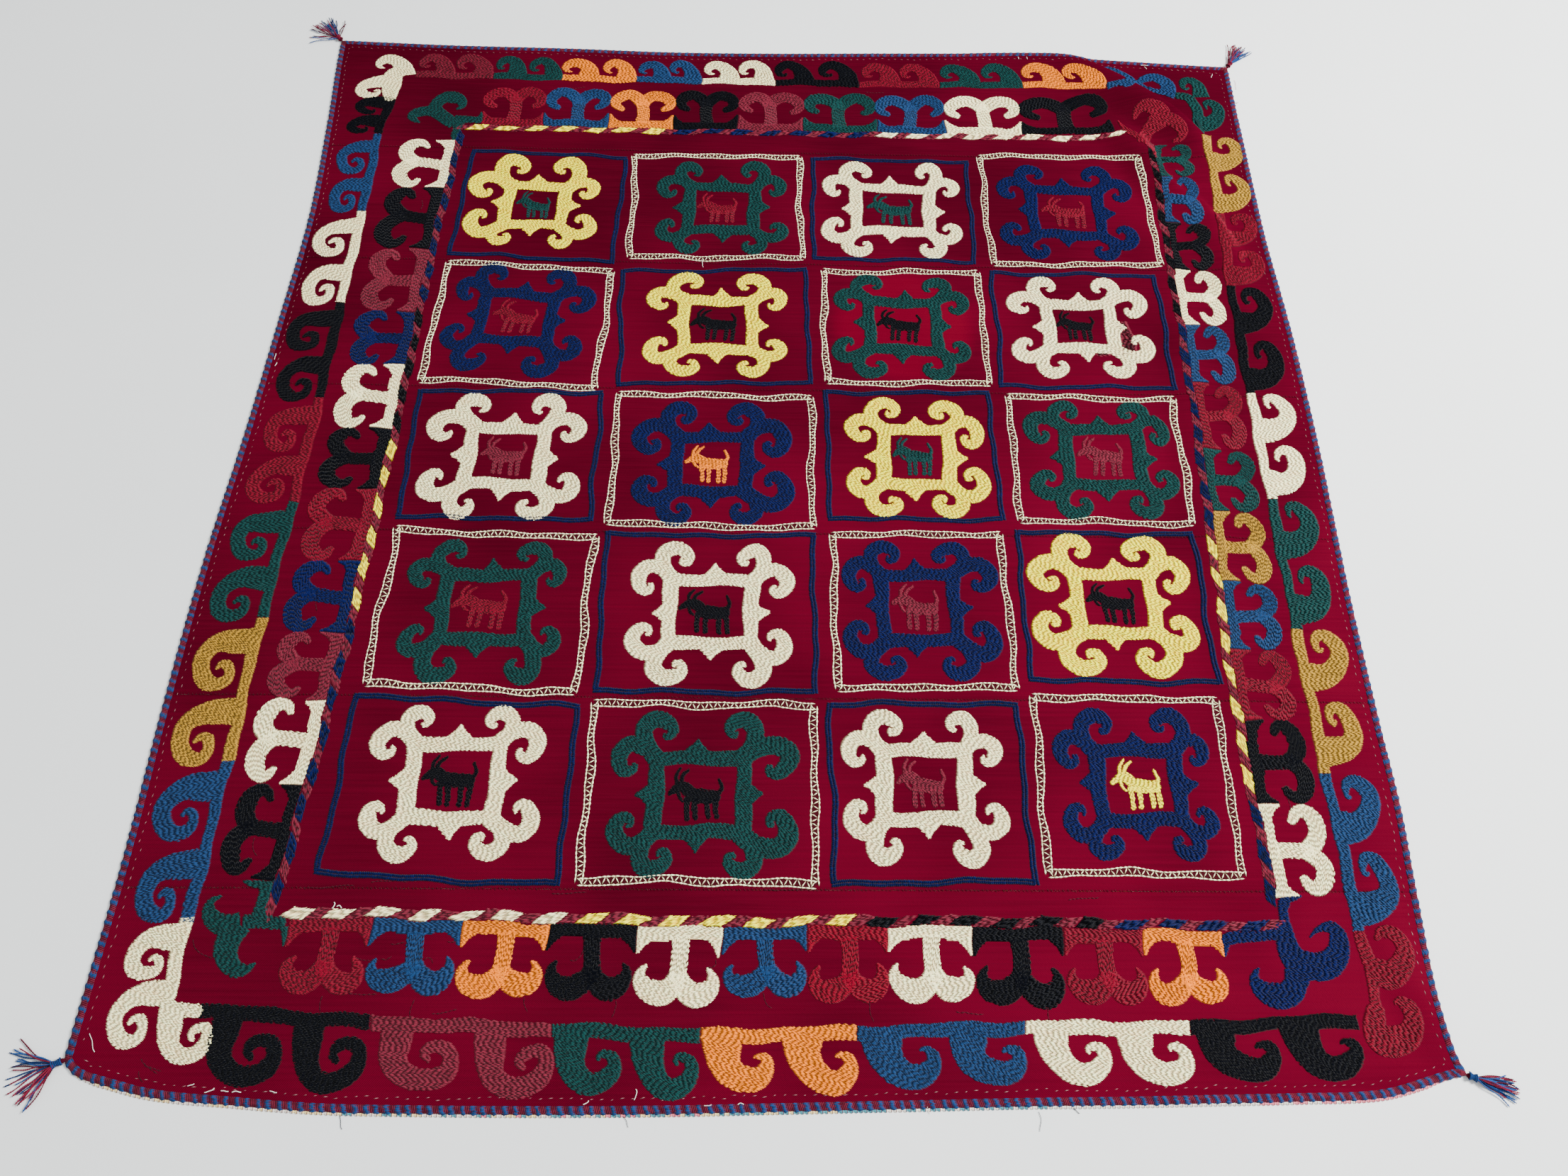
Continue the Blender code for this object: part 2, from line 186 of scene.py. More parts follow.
def ripple(x, y):
    """Only ever lifts the cloth, and fades out at its edges."""
    total = np.full(x.shape, RIPPLE_RAISE)
    for length, direction, height, start in RIPPLES:
        turn = math.radians(direction)
        total += height * np.sin(2 * np.pi * (x * math.cos(turn) + y * math.sin(turn)) / length + start)
    return np.maximum(total, 0) * np.clip(edge_distance(x, y) / EDGE_FLAT, 0, 1)


def folds(x, y):
    """How far the folds lift the cloth off the floor at places, in millimetres."""
    x, y = np.asarray(x, float), np.asarray(y, float)
    total = np.zeros(x.shape)
    for crest in CRESTS:
        reach = crest[:, 3:5].max()
        near = ((x > crest[:, 0].min() - reach) & (x < crest[:, 0].max() + reach)
                & (y > crest[:, 1].min() - reach) & (y < crest[:, 1].max() + reach))
        total[near] += fold_height(x[near], y[near], crest)
    return total


def lift(x, y):
    x, y = np.asarray(x, float), np.asarray(y, float)
    return folds(x, y) + ripple(x, y)


MAP_STEP = 6.0
MAP_X = np.arange(-940.0, 880.0, MAP_STEP)
MAP_Y = np.arange(-960.0, 1000.0, MAP_STEP)
FOLD_MAP = folds(*np.meshgrid(MAP_X, MAP_Y))


def fold_seen(x, y):
    """The folds' height read between the points of a grid, which is quicker when it is asked for often."""
    column = np.clip((x - MAP_X[0]) / MAP_STEP, 0, len(MAP_X) - 1.001)
    row = np.clip((y - MAP_Y[0]) / MAP_STEP, 0, len(MAP_Y) - 1.001)
    left, low = column.astype(int), row.astype(int)
    right, high = column - left, row - low
    near = FOLD_MAP[low, left] * (1 - right) + FOLD_MAP[low, left + 1] * right
    far = FOLD_MAP[low + 1, left] * (1 - right) + FOLD_MAP[low + 1, left + 1] * right
    return near * (1 - high) + far * high


def settled(points):
    """Places measured as if the cloth were flat, moved to where the camera sees them on the folds."""
    eye = np.array(CAMERA_SPOT[:2])
    found = points
    for _ in range(SETTLE_ROUNDS):
        height = fold_seen(found[:, 0], found[:, 1])[:, None]
        found = eye + (points - eye) * (1 - height / CAMERA_SPOT[2])
    return found


print("highest fold:", round(max(float(crest[:, 2].max()) for crest in CRESTS), 1), "mm")

# %% [markdown]
# ## Writing shader sums as Python
# Materials here are mostly small sums on noise, so one class wraps a socket and lets an expression such as
# `mask * 0.4 + shade` add its own Math nodes. Colours go through Mix, as a Math node would turn them grey.


# %% Sockets that do sums
class Value:
    """A socket of a material, which sums on it turn into Math nodes."""

    def __init__(self, maker, socket):
        self.maker = maker
        self.socket = socket

    def maths(self, operation, *values):
        return self.maker.node("ShaderNodeMath", {"operation": operation}, dict(enumerate(values)))

    def __add__(self, other):
        return self.maths("ADD", self, other)

    def __sub__(self, other):
        return self.maths("SUBTRACT", self, other)

    def __mul__(self, other):
        return self.maths("MULTIPLY", self, other)

    def __truediv__(self, other):
        return self.maths("DIVIDE", self, other)

    def sine(self):
        return self.maths("SINE", self)

    def over(self, other):
        return self.maths("GREATER_THAN", self, other)

    def smooth(self, low, high):
        return self.maker.node("ShaderNodeMapRange", {"interpolation_type": "SMOOTHSTEP"},
                               {0: self, 1: low, 2: high})

    def mixed(self, first, second):
        """The first colour where this is 1 and the second where it is 0."""
        return self.maker.mix(self, second, first)


class Finish:
    """A material with a Principled shader, and one method that adds any other node."""

    def __init__(self, name, roughness, sheen=0.0):
        self.material = bpy.data.materials.new(name)
        self.material.use_nodes = True
        self.tree = self.material.node_tree
        self.shader = self.tree.nodes["Principled BSDF"]
        self.set("Roughness", roughness)
        self.set("Sheen Weight", sheen)
        self.set("Sheen Roughness", 0.5)
        self.set("Specular IOR Level", 0.03)

    def node(self, kind, settings, values, output=0):
        made = self.tree.nodes.new(kind)
        for key, setting in settings.items():
            setattr(made, key, setting)
        for key, value in values.items():
            if isinstance(value, Value):
                self.tree.links.new(value.socket, made.inputs[key])
            else:
                made.inputs[key].default_value = value
        return Value(self, made.outputs[output])

    def set(self, name, value):
        if isinstance(value, Value):
            self.tree.links.new(value.socket, self.shader.inputs[name])
        else:
            self.shader.inputs[name].default_value = value

    def place(self, scale=(1, 1, 1)):
        where = self.node("ShaderNodeTexCoord", {}, {}, "Object")
        return self.node("ShaderNodeMapping", {}, {0: where, 3: scale})

    def part(self, vector, axis):
        return self.node("ShaderNodeSeparateXYZ", {}, {0: vector}, axis)

    def noise(self, vector, scale, detail=2.0, rough=0.5):
        values = {"Vector": vector, "Scale": scale, "Detail": detail, "Roughness": rough}
        return self.node("ShaderNodeTexNoise", {}, values)

    def held(self, name):
        """A number that the mesh holds for each point."""
        return self.node("ShaderNodeAttribute", {"attribute_name": name}, {}, "Fac")

    def mix(self, share, first, second):
        values = {0: share, 6: first, 7: second}
        return self.node("ShaderNodeMix", {"data_type": "RGBA"}, values, 2)

    def bump(self, height, distance):
        values = {"Height": height, "Distance": distance, "Strength": 1.0}
        self.set("Normal", self.node("ShaderNodeBump", {}, values))


def dye(red, green, blue):
    """A colour as it looks (0 to 255 each) as the light that it reflects."""
    light = [c / 255 for c in (red, green, blue)]
    light = [c / 12.92 if c <= 0.04045 else ((c + 0.055) / 1.055) ** 2.4 for c in light]
    return (*light, 1.0)


def shaded(colour, factor):
    return (*(min(c * factor, 1.0) for c in colour[:3]), 1.0)


print("shader helpers ready")

# %% [markdown]
# ## Crimson wool
# The ground is plain-woven wool: fine threads both ways, thicker picks across the strip, and a dye that
# took unevenly from one run of weft to the next. Wave patterns on Object coordinates give the weave in the
# bump, and long soft noise along the weft gives the streaks. Painted light makes the ground lighter towards
# the bottom.

# %% The ground's finish
THREAD = 1.1 * MM
WEAVE_DEPTH = 0.35 * MM
FIBRE_DEPTH = 0.3 * MM
COTTON_DEPTH = 0.2 * MM
# One stretch of the wool took more dye: its middle and its reach in metres
BRIGHT_SPOT = (0.205, 0.225)
BRIGHT_REACH = 0.12


def weave_bump(finish, where, pitch, depth):
    """Plain weave: two sets of ridges that take turns to be on top."""
    across = finish.part(where, 0) * (2 * math.pi / pitch)
    along = finish.part(where, 1) * (2 * math.pi / pitch)
    checker = (across * 0.5).sine() * (along * 0.5).sine()
    slub = finish.noise(where, 420.0, 1.0)
    finish.bump(checker * 0.6 + slub * 0.8, depth)


def crimson_wool():
    finish = Finish("crimson_wool_cloth", 0.9)
    finish.set("Specular IOR Level", 0.0)
    where = finish.place()
    streaks = finish.noise(finish.place((3.0, 160.0, 1.0)), 1.6, 3.0)
    picks = finish.noise(finish.place((16.0, 900.0, 1.0)), 1.0, 2.0)
    patches = finish.noise(where, 3.1, 2.0)
    flecks = finish.noise(finish.place((420.0, 900.0, 1.0)), 1.0, 1.0)
    # Painted light: the ground is painted lighter towards the bottom, nearer the camera, mixed in with the
    # dye's streaks and patches
    nearer = finish.part(where, 1) * 0.1
    depth = (streaks * 0.26 + patches * 0.7 - nearer - 0.45).smooth(-0.22, 0.3)
    dyed_with_painted_light = finish.mix(depth, dye(52, 2, 14), dye(88, 6, 27))
    thready = finish.mix(picks.smooth(0.3, 0.75) * 0.3, dyed_with_painted_light, dye(78, 9, 28))
    across = finish.part(where, 0) - BRIGHT_SPOT[0]
    along = finish.part(where, 1) - BRIGHT_SPOT[1]
    bright = ((across * across + along * along) / BRIGHT_REACH ** 2 + patches * 0.6).smooth(1.5, 0.9)
    patched = finish.mix(bright * 0.3, thready, dye(120, 7, 32))
    finish.set("Base Color", finish.mix(flecks.smooth(0.62, 0.8) * 0.35, patched, dye(44, 3, 13)))
    weave_bump(finish, where, THREAD, WEAVE_DEPTH)
    return finish.material


CRIMSON = crimson_wool()
print(CRIMSON.name)

# %% [markdown]
# ## The seven loom strips
# Each strip is one woven length about 26 cm wide. It starts as a flat bmesh grid, whose points are then put
# on the outline and the folds, and solidify gives it thickness. The grid is fine where the folds are, and
# has extra rows at each seam, where the strip dips into the joint.

# %% Strips
LINING_TOP = 1.0
GAP = 0.3
WOOL_THICK = 1.5
WOOL_TOP = LINING_TOP + GAP + WOOL_THICK
BRAID_WIDTH = 9.5
STRIP_COUNT = 7
FIRST_SEAM = 653.0
STRIP_WIDTH = 263.4
INSET = BRAID_WIDTH - 1.0
SEAM_DIP = 1.1
SEAM_SOFTNESS = 2.4
SHARP = math.radians(50)
# The field as seen from above, for the baked pictures of all that lies on it
FIELD_LOW = np.array([-910.0, -940.0])
FIELD_HIGH = np.array([840.0, 950.0])


def shares(*stretches):
    """Shares of the way along, from stretches that each end at a share and have a number of steps."""
    made = [0.0]
    for end, count in stretches:
        start = made[-1]
        made += [start + (end - start) * (k + 1) / count for k in range(count)]
    return np.array(made)


# Past this share of the way to the right, the columns are closer together for the folds
FOLDS_FROM = 0.72
COLUMNS = shares((FOLDS_FROM, 110), (1.0, 86))


def strip_rows(number):
    """Shares down a strip, close together at its seams, and in the two top strips closer for the folds."""
    count = 44 if number < 2 else 24
    return shares((0.008, 2), (0.03, 2), (0.97, count), (0.992, 2), (1.0, 2))


def x_between(y, share, inset):
    """Places at shares of the way from the left edge to the right one, both moved in by an inset."""
    return (edge_at("left", y) + inset) * (1 - share) + (edge_at("right", y) - inset) * share


def strip_place(number, column, row):
    """Places on a strip from shares across and down it."""
    high_seam = FIRST_SEAM - STRIP_WIDTH * (number - 1)
    low_seam = FIRST_SEAM - STRIP_WIDTH * number

    def height_at(x):
        high = edge_at("top", x) - INSET if number == 0 else high_seam - GAP / 2
        low = edge_at("bottom", x) + INSET if number == STRIP_COUNT - 1 else low_seam + GAP / 2
        return high * (1 - row) + low * row

    y = height_at(BOTTOM_LEFT[0] * (1 - column) + BOTTOM_RIGHT[0] * column)
    x = x_between(y, column, INSET)
    return x, height_at(x)


def seam_dip(number, y):
    dip = np.zeros(y.shape)
    for seam in (number - 1, number):
        if 0 <= seam < STRIP_COUNT - 1:
            dip += SEAM_DIP * np.exp(-np.abs(y - (FIRST_SEAM - STRIP_WIDTH * seam)) / SEAM_SOFTNESS)
    return dip


def places_of(mesh):
    places = np.empty(len(mesh.vertices) * 3)
    mesh.vertices.foreach_get("co", places)
    return places.reshape(-1, 3)


def flat_map(mesh, low=(FIELD_LOW + SHIFT) * MM, high=(FIELD_HIGH + SHIFT) * MM):
    """A map of the piece as seen from above, for the baked picture of its colours."""
    layer = mesh.uv_layers.new(name="OFBake")
    corners = np.empty(len(mesh.loops), int)
    mesh.loops.foreach_get("vertex_index", corners)
    layer.data.foreach_set("uv", ((places_of(mesh)[corners, :2] - low) / (high - low)).ravel())


def add_object(name, data):
    added = bpy.data.objects.new(name, data)
    bpy.context.scene.collection.objects.link(added)
    return added


def add_piece(name, mesh, material):
    mesh.materials.append(material)
    piece = add_object(name, mesh)
    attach(piece, "root")
    mesh.shade_smooth()
    return piece


def grid_mesh(name, points):
    """A mesh from a grid of points, rows by columns, in millimetres."""
    row_count, column_count, _ = points.shape
    shape = bmesh.new()
    bmesh.ops.create_grid(shape, x_segments=column_count - 1, y_segments=row_count - 1, size=0.5)
    mesh = bpy.data.meshes.new(name)
    shape.to_mesh(mesh)
    shape.free()
    flat = places_of(mesh)
    column = np.rint((flat[:, 0] + 0.5) * (column_count - 1)).astype(int)
    row = np.rint((0.5 - flat[:, 1]) * (row_count - 1)).astype(int)
    mesh.vertices.foreach_set("co", ((points[row, column] + (*SHIFT, 0)) * MM).ravel())
    return mesh


def thicken(mesh, thickness):
    """Gives an open sheet its thickness downwards, in millimetres."""
    shape = bmesh.new()
    shape.from_mesh(mesh)
    bmesh.ops.solidify(shape, geom=shape.faces[:], thickness=thickness * MM)
    bmesh.ops.recalc_face_normals(shape, faces=shape.faces[:])
    shape.to_mesh(mesh)
    shape.free()
    places = places_of(mesh)[:, :2]
    flat_map(mesh, places.min(0), places.max(0))


def strip_piece(number):
    name = f"loom_strip_{number + 1}"
    column, row = np.meshgrid(COLUMNS, strip_rows(number))
    x, y = strip_place(number, column, row)
    z = lift(x, y) + WOOL_TOP - seam_dip(number, y)
    mesh = grid_mesh(name + "_cloth", np.stack([x, y, z], 2))
    thicken(mesh, WOOL_THICK)
    piece = add_piece(name + "_cloth", mesh, CRIMSON)
    mesh.set_sharp_from_angle(angle=SHARP)
    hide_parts(name)
    (x.max() - x.min()) * MM
    (y.max() - y.min()) * MM
    return piece


strips = [strip_piece(number) for number in range(STRIP_COUNT)]
print("strip triangles:", [2 * len(piece.data.polygons) for piece in strips])

# %% [markdown]
# ## Wools
# The embroidery is worked in about a dozen wools, whose dye took and faded unevenly. Thousands of stitches
# as objects of their own would be too slow, so each wool gathers its stitches in a list, and becomes one
# mesh when all are set.

# %% Colours of wool
# Each wool's colour, then how dark and how light its stitches get, and how dark the painted shade between
# them is
WOOLS = {
    "cream": (dye(255, 225, 168), 0.94, 1.42, 0.58),
    "lattice": (dye(255, 227, 172), 0.96, 1.45, 0.5),
    "yellow": (dye(255, 208, 0), 0.94, 1.55, 0.62),
    "orange": (dye(230, 122, 0), 0.66, 1.2, 0.36),
    "gold": (dye(155, 117, 36), 0.6, 1.4, 0.33),
    "green": (dye(9, 50, 48), 0.52, 1.5, 0.34),
    "blue": (dye(20, 49, 85), 0.52, 1.5, 0.34),
    "navy": (dye(4, 14, 61), 0.52, 1.45, 0.34),
    "black": (dye(0, 1, 6), 0.5, 1.4, 0.4),
    "red": (dye(102, 5, 28), 0.56, 1.45, 0.38),
    "dull_red": (dye(100, 25, 41), 0.6, 1.4, 0.38),
    "bright_red": (dye(111, 1, 27), 0.6, 1.4, 0.38),
    "maroon": (dye(93, 16, 33), 0.58, 1.4, 0.24),
}
chance = np.random.default_rng(7)
stitches = {name: [] for name in WOOLS}
beds = {name: [] for name in WOOLS}
print("wools:", ", ".join(WOOLS))

# %% [markdown]
# ## Rows of stitches
# The maker fills each shape with rows of short slanted stitches. Here a shape is a set of closed outlines.
# It is turned so that its rows lie level, each row is cut where it enters and leaves the outlines, and the
# cuts between wander in uneven columns. A picture of stitches would be less work, but flat from the side.

# %% Rows of stitches
ROW_PITCH = 1.6
STITCH_LENGTH = 7.0
COLUMN_STRAY = 0.42
CUT_STRAY = 0.09
# Stitches in a row reach under one another by this much, and none is shorter than this share of a whole one
TUCK = 0.9
STUB = 0.4
# Each step of a stroke is filled a little past its sides, so that the next one joins it
STEP_OVERLAP = 0.05
# How much painted light a stitch's ends get, against the painted shade between stitches: where they tuck
# in under the next stitch, and where they reach the shape's edge
TUCKED_RIDGE = 0.26
EDGE_RIDGE = 0.8


def turn_points(points, degrees):
    turn = math.radians(degrees)
    cosine, sine = math.cos(turn), math.sin(turn)
    return points @ np.array([[cosine, sine], [-sine, cosine]])


def crossings(first, second, pitch):
    """Where straight edges cross level rows: edge, row, x, and 1 or -1 as the edge climbs or falls."""
    low = np.minimum(first[:, 1], second[:, 1])
    high = np.maximum(first[:, 1], second[:, 1])
    start = np.ceil(low / pitch).astype(int)
    count = np.maximum(np.ceil(high / pitch).astype(int) - start, 0)
    edge = np.repeat(np.arange(len(first)), count)
    row = start[edge] + np.arange(count.sum()) - np.repeat(np.cumsum(count) - count, count)
    rise = second[edge, 1] - first[edge, 1]
    x = first[edge, 0] + (row * pitch - first[edge, 1]) / rise * (second[edge, 0] - first[edge, 0])
    return edge, row, x, np.sign(rise).astype(int)


def row_cuts(outline, pitch):
    """Level rows through a closed outline, each as (row, where it enters, where it leaves)."""
    _, row, x, turn = crossings(outline, np.roll(outline, -1, 0), pitch)
    return joined_rows(row, x, turn)


def stroke_cuts(left, right, pitch):
    """Level rows through a stroke, taken step by step, so that a tight curl leaves no hole."""
    first = np.stack([left[:-1], left[1:], right[1:], right[:-1]], 1)
    second = np.roll(first, -1, 1)
    edge, row, x, _ = crossings(first.reshape(-1, 2), second.reshape(-1, 2), pitch)
    order = np.lexsort((x, row, edge // 4))
    step, row, x = edge[order] // 4, row[order], x[order]
    new = np.append(True, (step[1:] != step[:-1]) | (row[1:] != row[:-1]))
    enters = np.flatnonzero(new)
    leaves = np.append(enters[1:], len(x)) - 1
    return row[enters], x[enters] - STEP_OVERLAP, x[leaves] + STEP_OVERLAP


def joined_rows(row, x, turn):
    """The stretches of each row that are inside, from the crossings and which way each one turns."""
    order = np.lexsort((x, row))
    depth = np.cumsum(turn[order])
    before = np.concatenate([[0], depth[:-1]])
    enters = order[(before == 0) & (depth != 0)]
    leaves = order[(before != 0) & (depth == 0)]
    return row[enters], x[enters], x[leaves]


def split_rows(row, start, end, length):
    """Cuts each row into stitches about one length long, in columns that wander from row to row."""
    offset = 0.4 * np.sin(row * 0.13) + 0.3 * np.sin(row * 0.29 + 1)
    offset = (offset + chance.uniform(-COLUMN_STRAY, COLUMN_STRAY, len(row))) % 1.0
    low = np.ceil((start + STUB * length) / length - offset).astype(int)
    high = np.floor((end - STUB * length) / length - offset).astype(int)
    cuts = np.maximum(high - low + 1, 0)
    total = cuts + 1
    line = np.repeat(np.arange(len(row)), total)
    step = np.arange(total.sum()) - np.repeat(np.cumsum(total) - total, total)
    left = (low[line] + step - 1 + offset[line]) * length
    right = left + length
    jitter = chance.uniform(-CUT_STRAY, CUT_STRAY, (2, len(line))) * length
    begins, finishes = step == 0, step == cuts[line]
    left = np.where(begins, start[line] - chance.uniform(0, 1.0, len(line)), left + jitter[0] - TUCK)
    right = np.where(finishes, end[line] + chance.uniform(0, 1.0, len(line)), right + jitter[1] + TUCK)
    ends = np.where(np.stack([begins, finishes], 1), EDGE_RIDGE, TUCKED_RIDGE)
    return line, left, right, ends


print("rows every", ROW_PITCH, "mm, stitches about", STITCH_LENGTH, "mm")

# %% [markdown]
# ## Stitches
# A stitch of soft yarn is highest in its middle and tucks in under its neighbours at both ends. So each is
# a low lozenge of four slopes round a raised point, closed underneath. A rounder tube would cost ten times
# the faces, and from standing height would look much the same.

# %% Stitches as lozenges
STITCH_WIDTH = 2.7
STITCH_RISE = 1.3
STITCH_SLANT = -20.0
ROW_STRAY = 0.22
RIDGE_STRAY = 0.12
SHORTEST = 0.8
# A stitch's sides get little painted light: painted shade where it meets its neighbours
SIDE_RIDGE = 0.38
# How high a stitch's points are: where an end tucks in under the next one, any other end, and the sides
TUCKED_RISE = 0.75
END_RISE = 0.1
SIDE_RISE = 0.25
# The mean and the spread of the stitches' shades, from 0 for the darkest to 1 for the lightest
SHADE = 0.62
SHADE_SPREAD = 0.2


def fill(colour, outlines, angle=STITCH_SLANT, pitch=ROW_PITCH, length=STITCH_LENGTH, width=STITCH_WIDTH,
         rise=STITCH_RISE, strokes=()):
    """Fills closed outlines, and strokes given by their two sides, with slanted stitches of one colour."""
    pieces = [row_cuts(turn_points(outline, -angle), pitch) for outline in outlines]
    pieces += [stroke_cuts(turn_points(left, -angle), turn_points(right, -angle), pitch)
               for left, right in strokes]
    row, start, end = (np.concatenate(parts) for parts in zip(*pieces))
    turn = np.repeat([1, -1], len(row))
    row, start, end = joined_rows(np.tile(row, 2), np.concatenate([start, end]), turn)
    wide = end - start > SHORTEST
    row, start, end = row[wide], start[wide], end[wide]
    if not len(row):
        return
    line, left, right, ends = split_rows(row, start, end, length)
    sway = chance.normal(0, ROW_STRAY, (2, len(line)))
    y = row[line] * pitch
    first = turn_points(np.stack([left, y + sway[0]], 1), angle)
    last = turn_points(np.stack([right, y + sway[1]], 1), angle)
    add_stitches(colour, first, last, width=width, rise=rise, ends=ends)


def stitch_group(first, last, width, rise, dim=0.0, ends=EDGE_RIDGE):
    """Stitches for later: where they start and end, width, rise, how much darker, and the painted light at
    the ends.
    """
    count = len(first)
    sizes = [np.broadcast_to(value, count) for value in (width, rise, dim)]
    return (first, last, *sizes, np.broadcast_to(ends, (count, 2)))


def add_stitches(colour, first, last, **sizes):
    stitches[colour].append(stitch_group(first, last, **sizes))


def lozenges(groups):
    """Points, heights, faces, and the shade and painted light of each point, of many joined stitches."""
    first, last, width, rise, dim, ends = (np.concatenate(parts) for parts in zip(*groups))
    count = len(first)
    way = last - first
    length = np.maximum(np.hypot(way[:, 0], way[:, 1]), 0.1)
    aside = np.stack([-way[:, 1], way[:, 0]], 1) / length[:, None]
    middle = (first + last) / 2 + way * chance.uniform(-RIDGE_STRAY, RIDGE_STRAY, (count, 1))
    width = width * chance.uniform(0.85, 1.15, count) * np.minimum(1, 0.7 + length / 20)
    flat = np.stack([first, middle - aside * width[:, None] / 2, last,
                     middle + aside * width[:, None] / 2, middle], 1)
    height = np.zeros((count, 5))
    height[:, (0, 2)] = np.where(ends == TUCKED_RIDGE, TUCKED_RISE, END_RISE)
    height[:, (1, 3)] = SIDE_RISE
    height[:, 4] = rise * chance.uniform(0.8, 1.2, count)
    shade = np.repeat(np.clip(chance.normal(SHADE, SHADE_SPREAD, count) - dim, 0, 1), 5)
    # Painted light: full at the middle, less at the ends, and least at the sides, where painted shade falls
    # between stitches
    ridge = np.stack([ends[:, 0], np.full(count, SIDE_RIDGE), ends[:, 1], np.full(count, SIDE_RIDGE),
                      np.ones(count)], 1).ravel()
    corners = np.array([[0, 1, 4], [1, 2, 4], [2, 3, 4], [3, 0, 4], [0, 3, 2], [0, 2, 1]])
    faces = (np.arange(count)[:, None, None] * 5 + corners).reshape(-1, 3)
    return flat.reshape(-1, 2), height.ravel(), faces, shade, ridge


def quick_mesh(name, points, faces):
    """A mesh from arrays of points and of faces that all have as many corners."""
    mesh = bpy.data.meshes.new(name)
    mesh.vertices.add(len(points))
    mesh.vertices.foreach_set("co", np.ascontiguousarray(points, dtype=np.float32).ravel())
    sides = faces.shape[1]
    mesh.loops.add(faces.size)
    mesh.loops.foreach_set("vertex_index", faces.astype(np.int32).ravel())
    mesh.polygons.add(len(faces))
    mesh.polygons.foreach_set("loop_start", np.arange(0, faces.size, sides, dtype=np.int32))
    mesh.update(calc_edges=True)
    return mesh


def on_cloth(flat, height):
    """Puts flat places and their heights over the wool on the cloth, in metres."""
    z = lift(flat[:, 0], flat[:, 1]) + WOOL_TOP + height
    return np.stack([flat[:, 0] + SHIFT[0], flat[:, 1] + SHIFT[1], z], 1) * MM


print("stitches rise", STITCH_RISE, "mm over the wool at", round(WOOL_TOP, 2), "mm")

# %% [markdown]
# ## Strokes
# Horns, stems, tails and legs are all strokes: a smooth line through a few rows of (along, out, half width).
# A stroke gives two things: its two sides, between which the stitches lie, and a thin bed of the same wool
# under them, so that no ground shows between the stitches. The bed is coloured dark, as painted shade
# between the stitches.

# %% Strokes and beds
# Thin beds of wool lie under the stitches, each a little lower than the last so that none share a plane
BED_RISE = 0.42
BED_DROP = 0.05
BED_INSET = 2.6
BED_PITCH = 3.6
BED_HALF = BED_PITCH * 0.52
BED_END = 0.7
BED_BOTTOM = 0.05
# The beds get little painted light, so they show as painted shade between the stitches
BED_RIDGE = 0.12
STROKE_STEPS = 5
TIP_TURNS = np.radians([30.0, 60.0, 84.0])
SLANT_STRAY = 7
# A bed has more points across it where the cloth is lifted by more than this
FOLDED = 0.5


class Place:
    """A spot on the cloth, a direction and a scale, which strokes are drawn from."""

    def __init__(self, x, y, degrees=0.0, along=1.0, out=1.0, flip=False):
        self.spot = np.array([x, y], float)
        self.degrees = degrees
        self.size = np.array([along, -out if flip else out], float)

    def to_cloth(self, points):
        return self.spot + turn_points(points * self.size, self.degrees)


def wobble(points):
    """The drawn line of a hand: points pushed a little aside, smoothly from place to place."""
    x, y = points.T
    push_x = 1.5 * np.sin(x / 17.0 + y / 29.0) + 1.1 * np.sin(y / 11.0 - x / 37.0 + 1.0)
    push_y = 1.5 * np.sin(y / 19.0 - x / 23.0 + 2.0) + 1.1 * np.sin(x / 12.0 + y / 31.0)
    return settled(points + np.stack([push_x, push_y], 1))


def stroke_sides(place, rows, inset=0.0):
    """The two sides of a stroke on the cloth, with a round tip at its end."""
    path = smooth_rows(rows, STROKE_STEPS)
    middle = wobble(place.to_cloth(path[:, :2]))
    half = path[:, 2] * math.sqrt(abs(place.size[0] * place.size[1]))
    half = np.maximum(half - inset, 0.6 * half)
    on = middle[-1] - middle[-2]
    on = on / np.hypot(*on) * half[-1]
    middle = np.concatenate([middle, middle[-1] + np.sin(TIP_TURNS)[:, None] * on])
    half = np.concatenate([half, half[-1] * np.cos(TIP_TURNS)])
    way = np.gradient(middle, axis=0)
    aside = np.stack([-way[:, 1], way[:, 0]], 1) / np.hypot(way[:, 0], way[:, 1])[:, None]
    return middle + aside * half[:, None], middle - aside * half[:, None]


def shape_bed(colour, outline, angle):
    """Low strips of wool under a small shape, laid along its rows of stitches."""
    row, start, end = row_cuts(turn_points(outline, -angle), BED_PITCH)
    for number, left, right in zip(row, start + BED_END, end - BED_END):
        if right - left > 1:
            x = np.linspace(left, right, max(int((right - left) / 10), 1) + 1)
            y = np.full(len(x), number * BED_PITCH)
            beds[colour].append([turn_points(np.stack([x, y + half], 1), angle)
                                 for half in (BED_HALF, -BED_HALF)])


def draw(colour, strokes, angle=None, shapes=(), **how):
    """Stitches strokes, each a (place, rows) pair, and closed shapes, in one colour."""
    if angle is None:
        angle = STITCH_SLANT + chance.uniform(-SLANT_STRAY, SLANT_STRAY)
    outlines = [wobble(np.array(shape, float)) for shape in shapes]
    beds[colour] += [stroke_sides(place, rows, BED_INSET) for place, rows in strokes]
    fill(colour, outlines, angle, strokes=[stroke_sides(place, rows) for place, rows in strokes], **how)


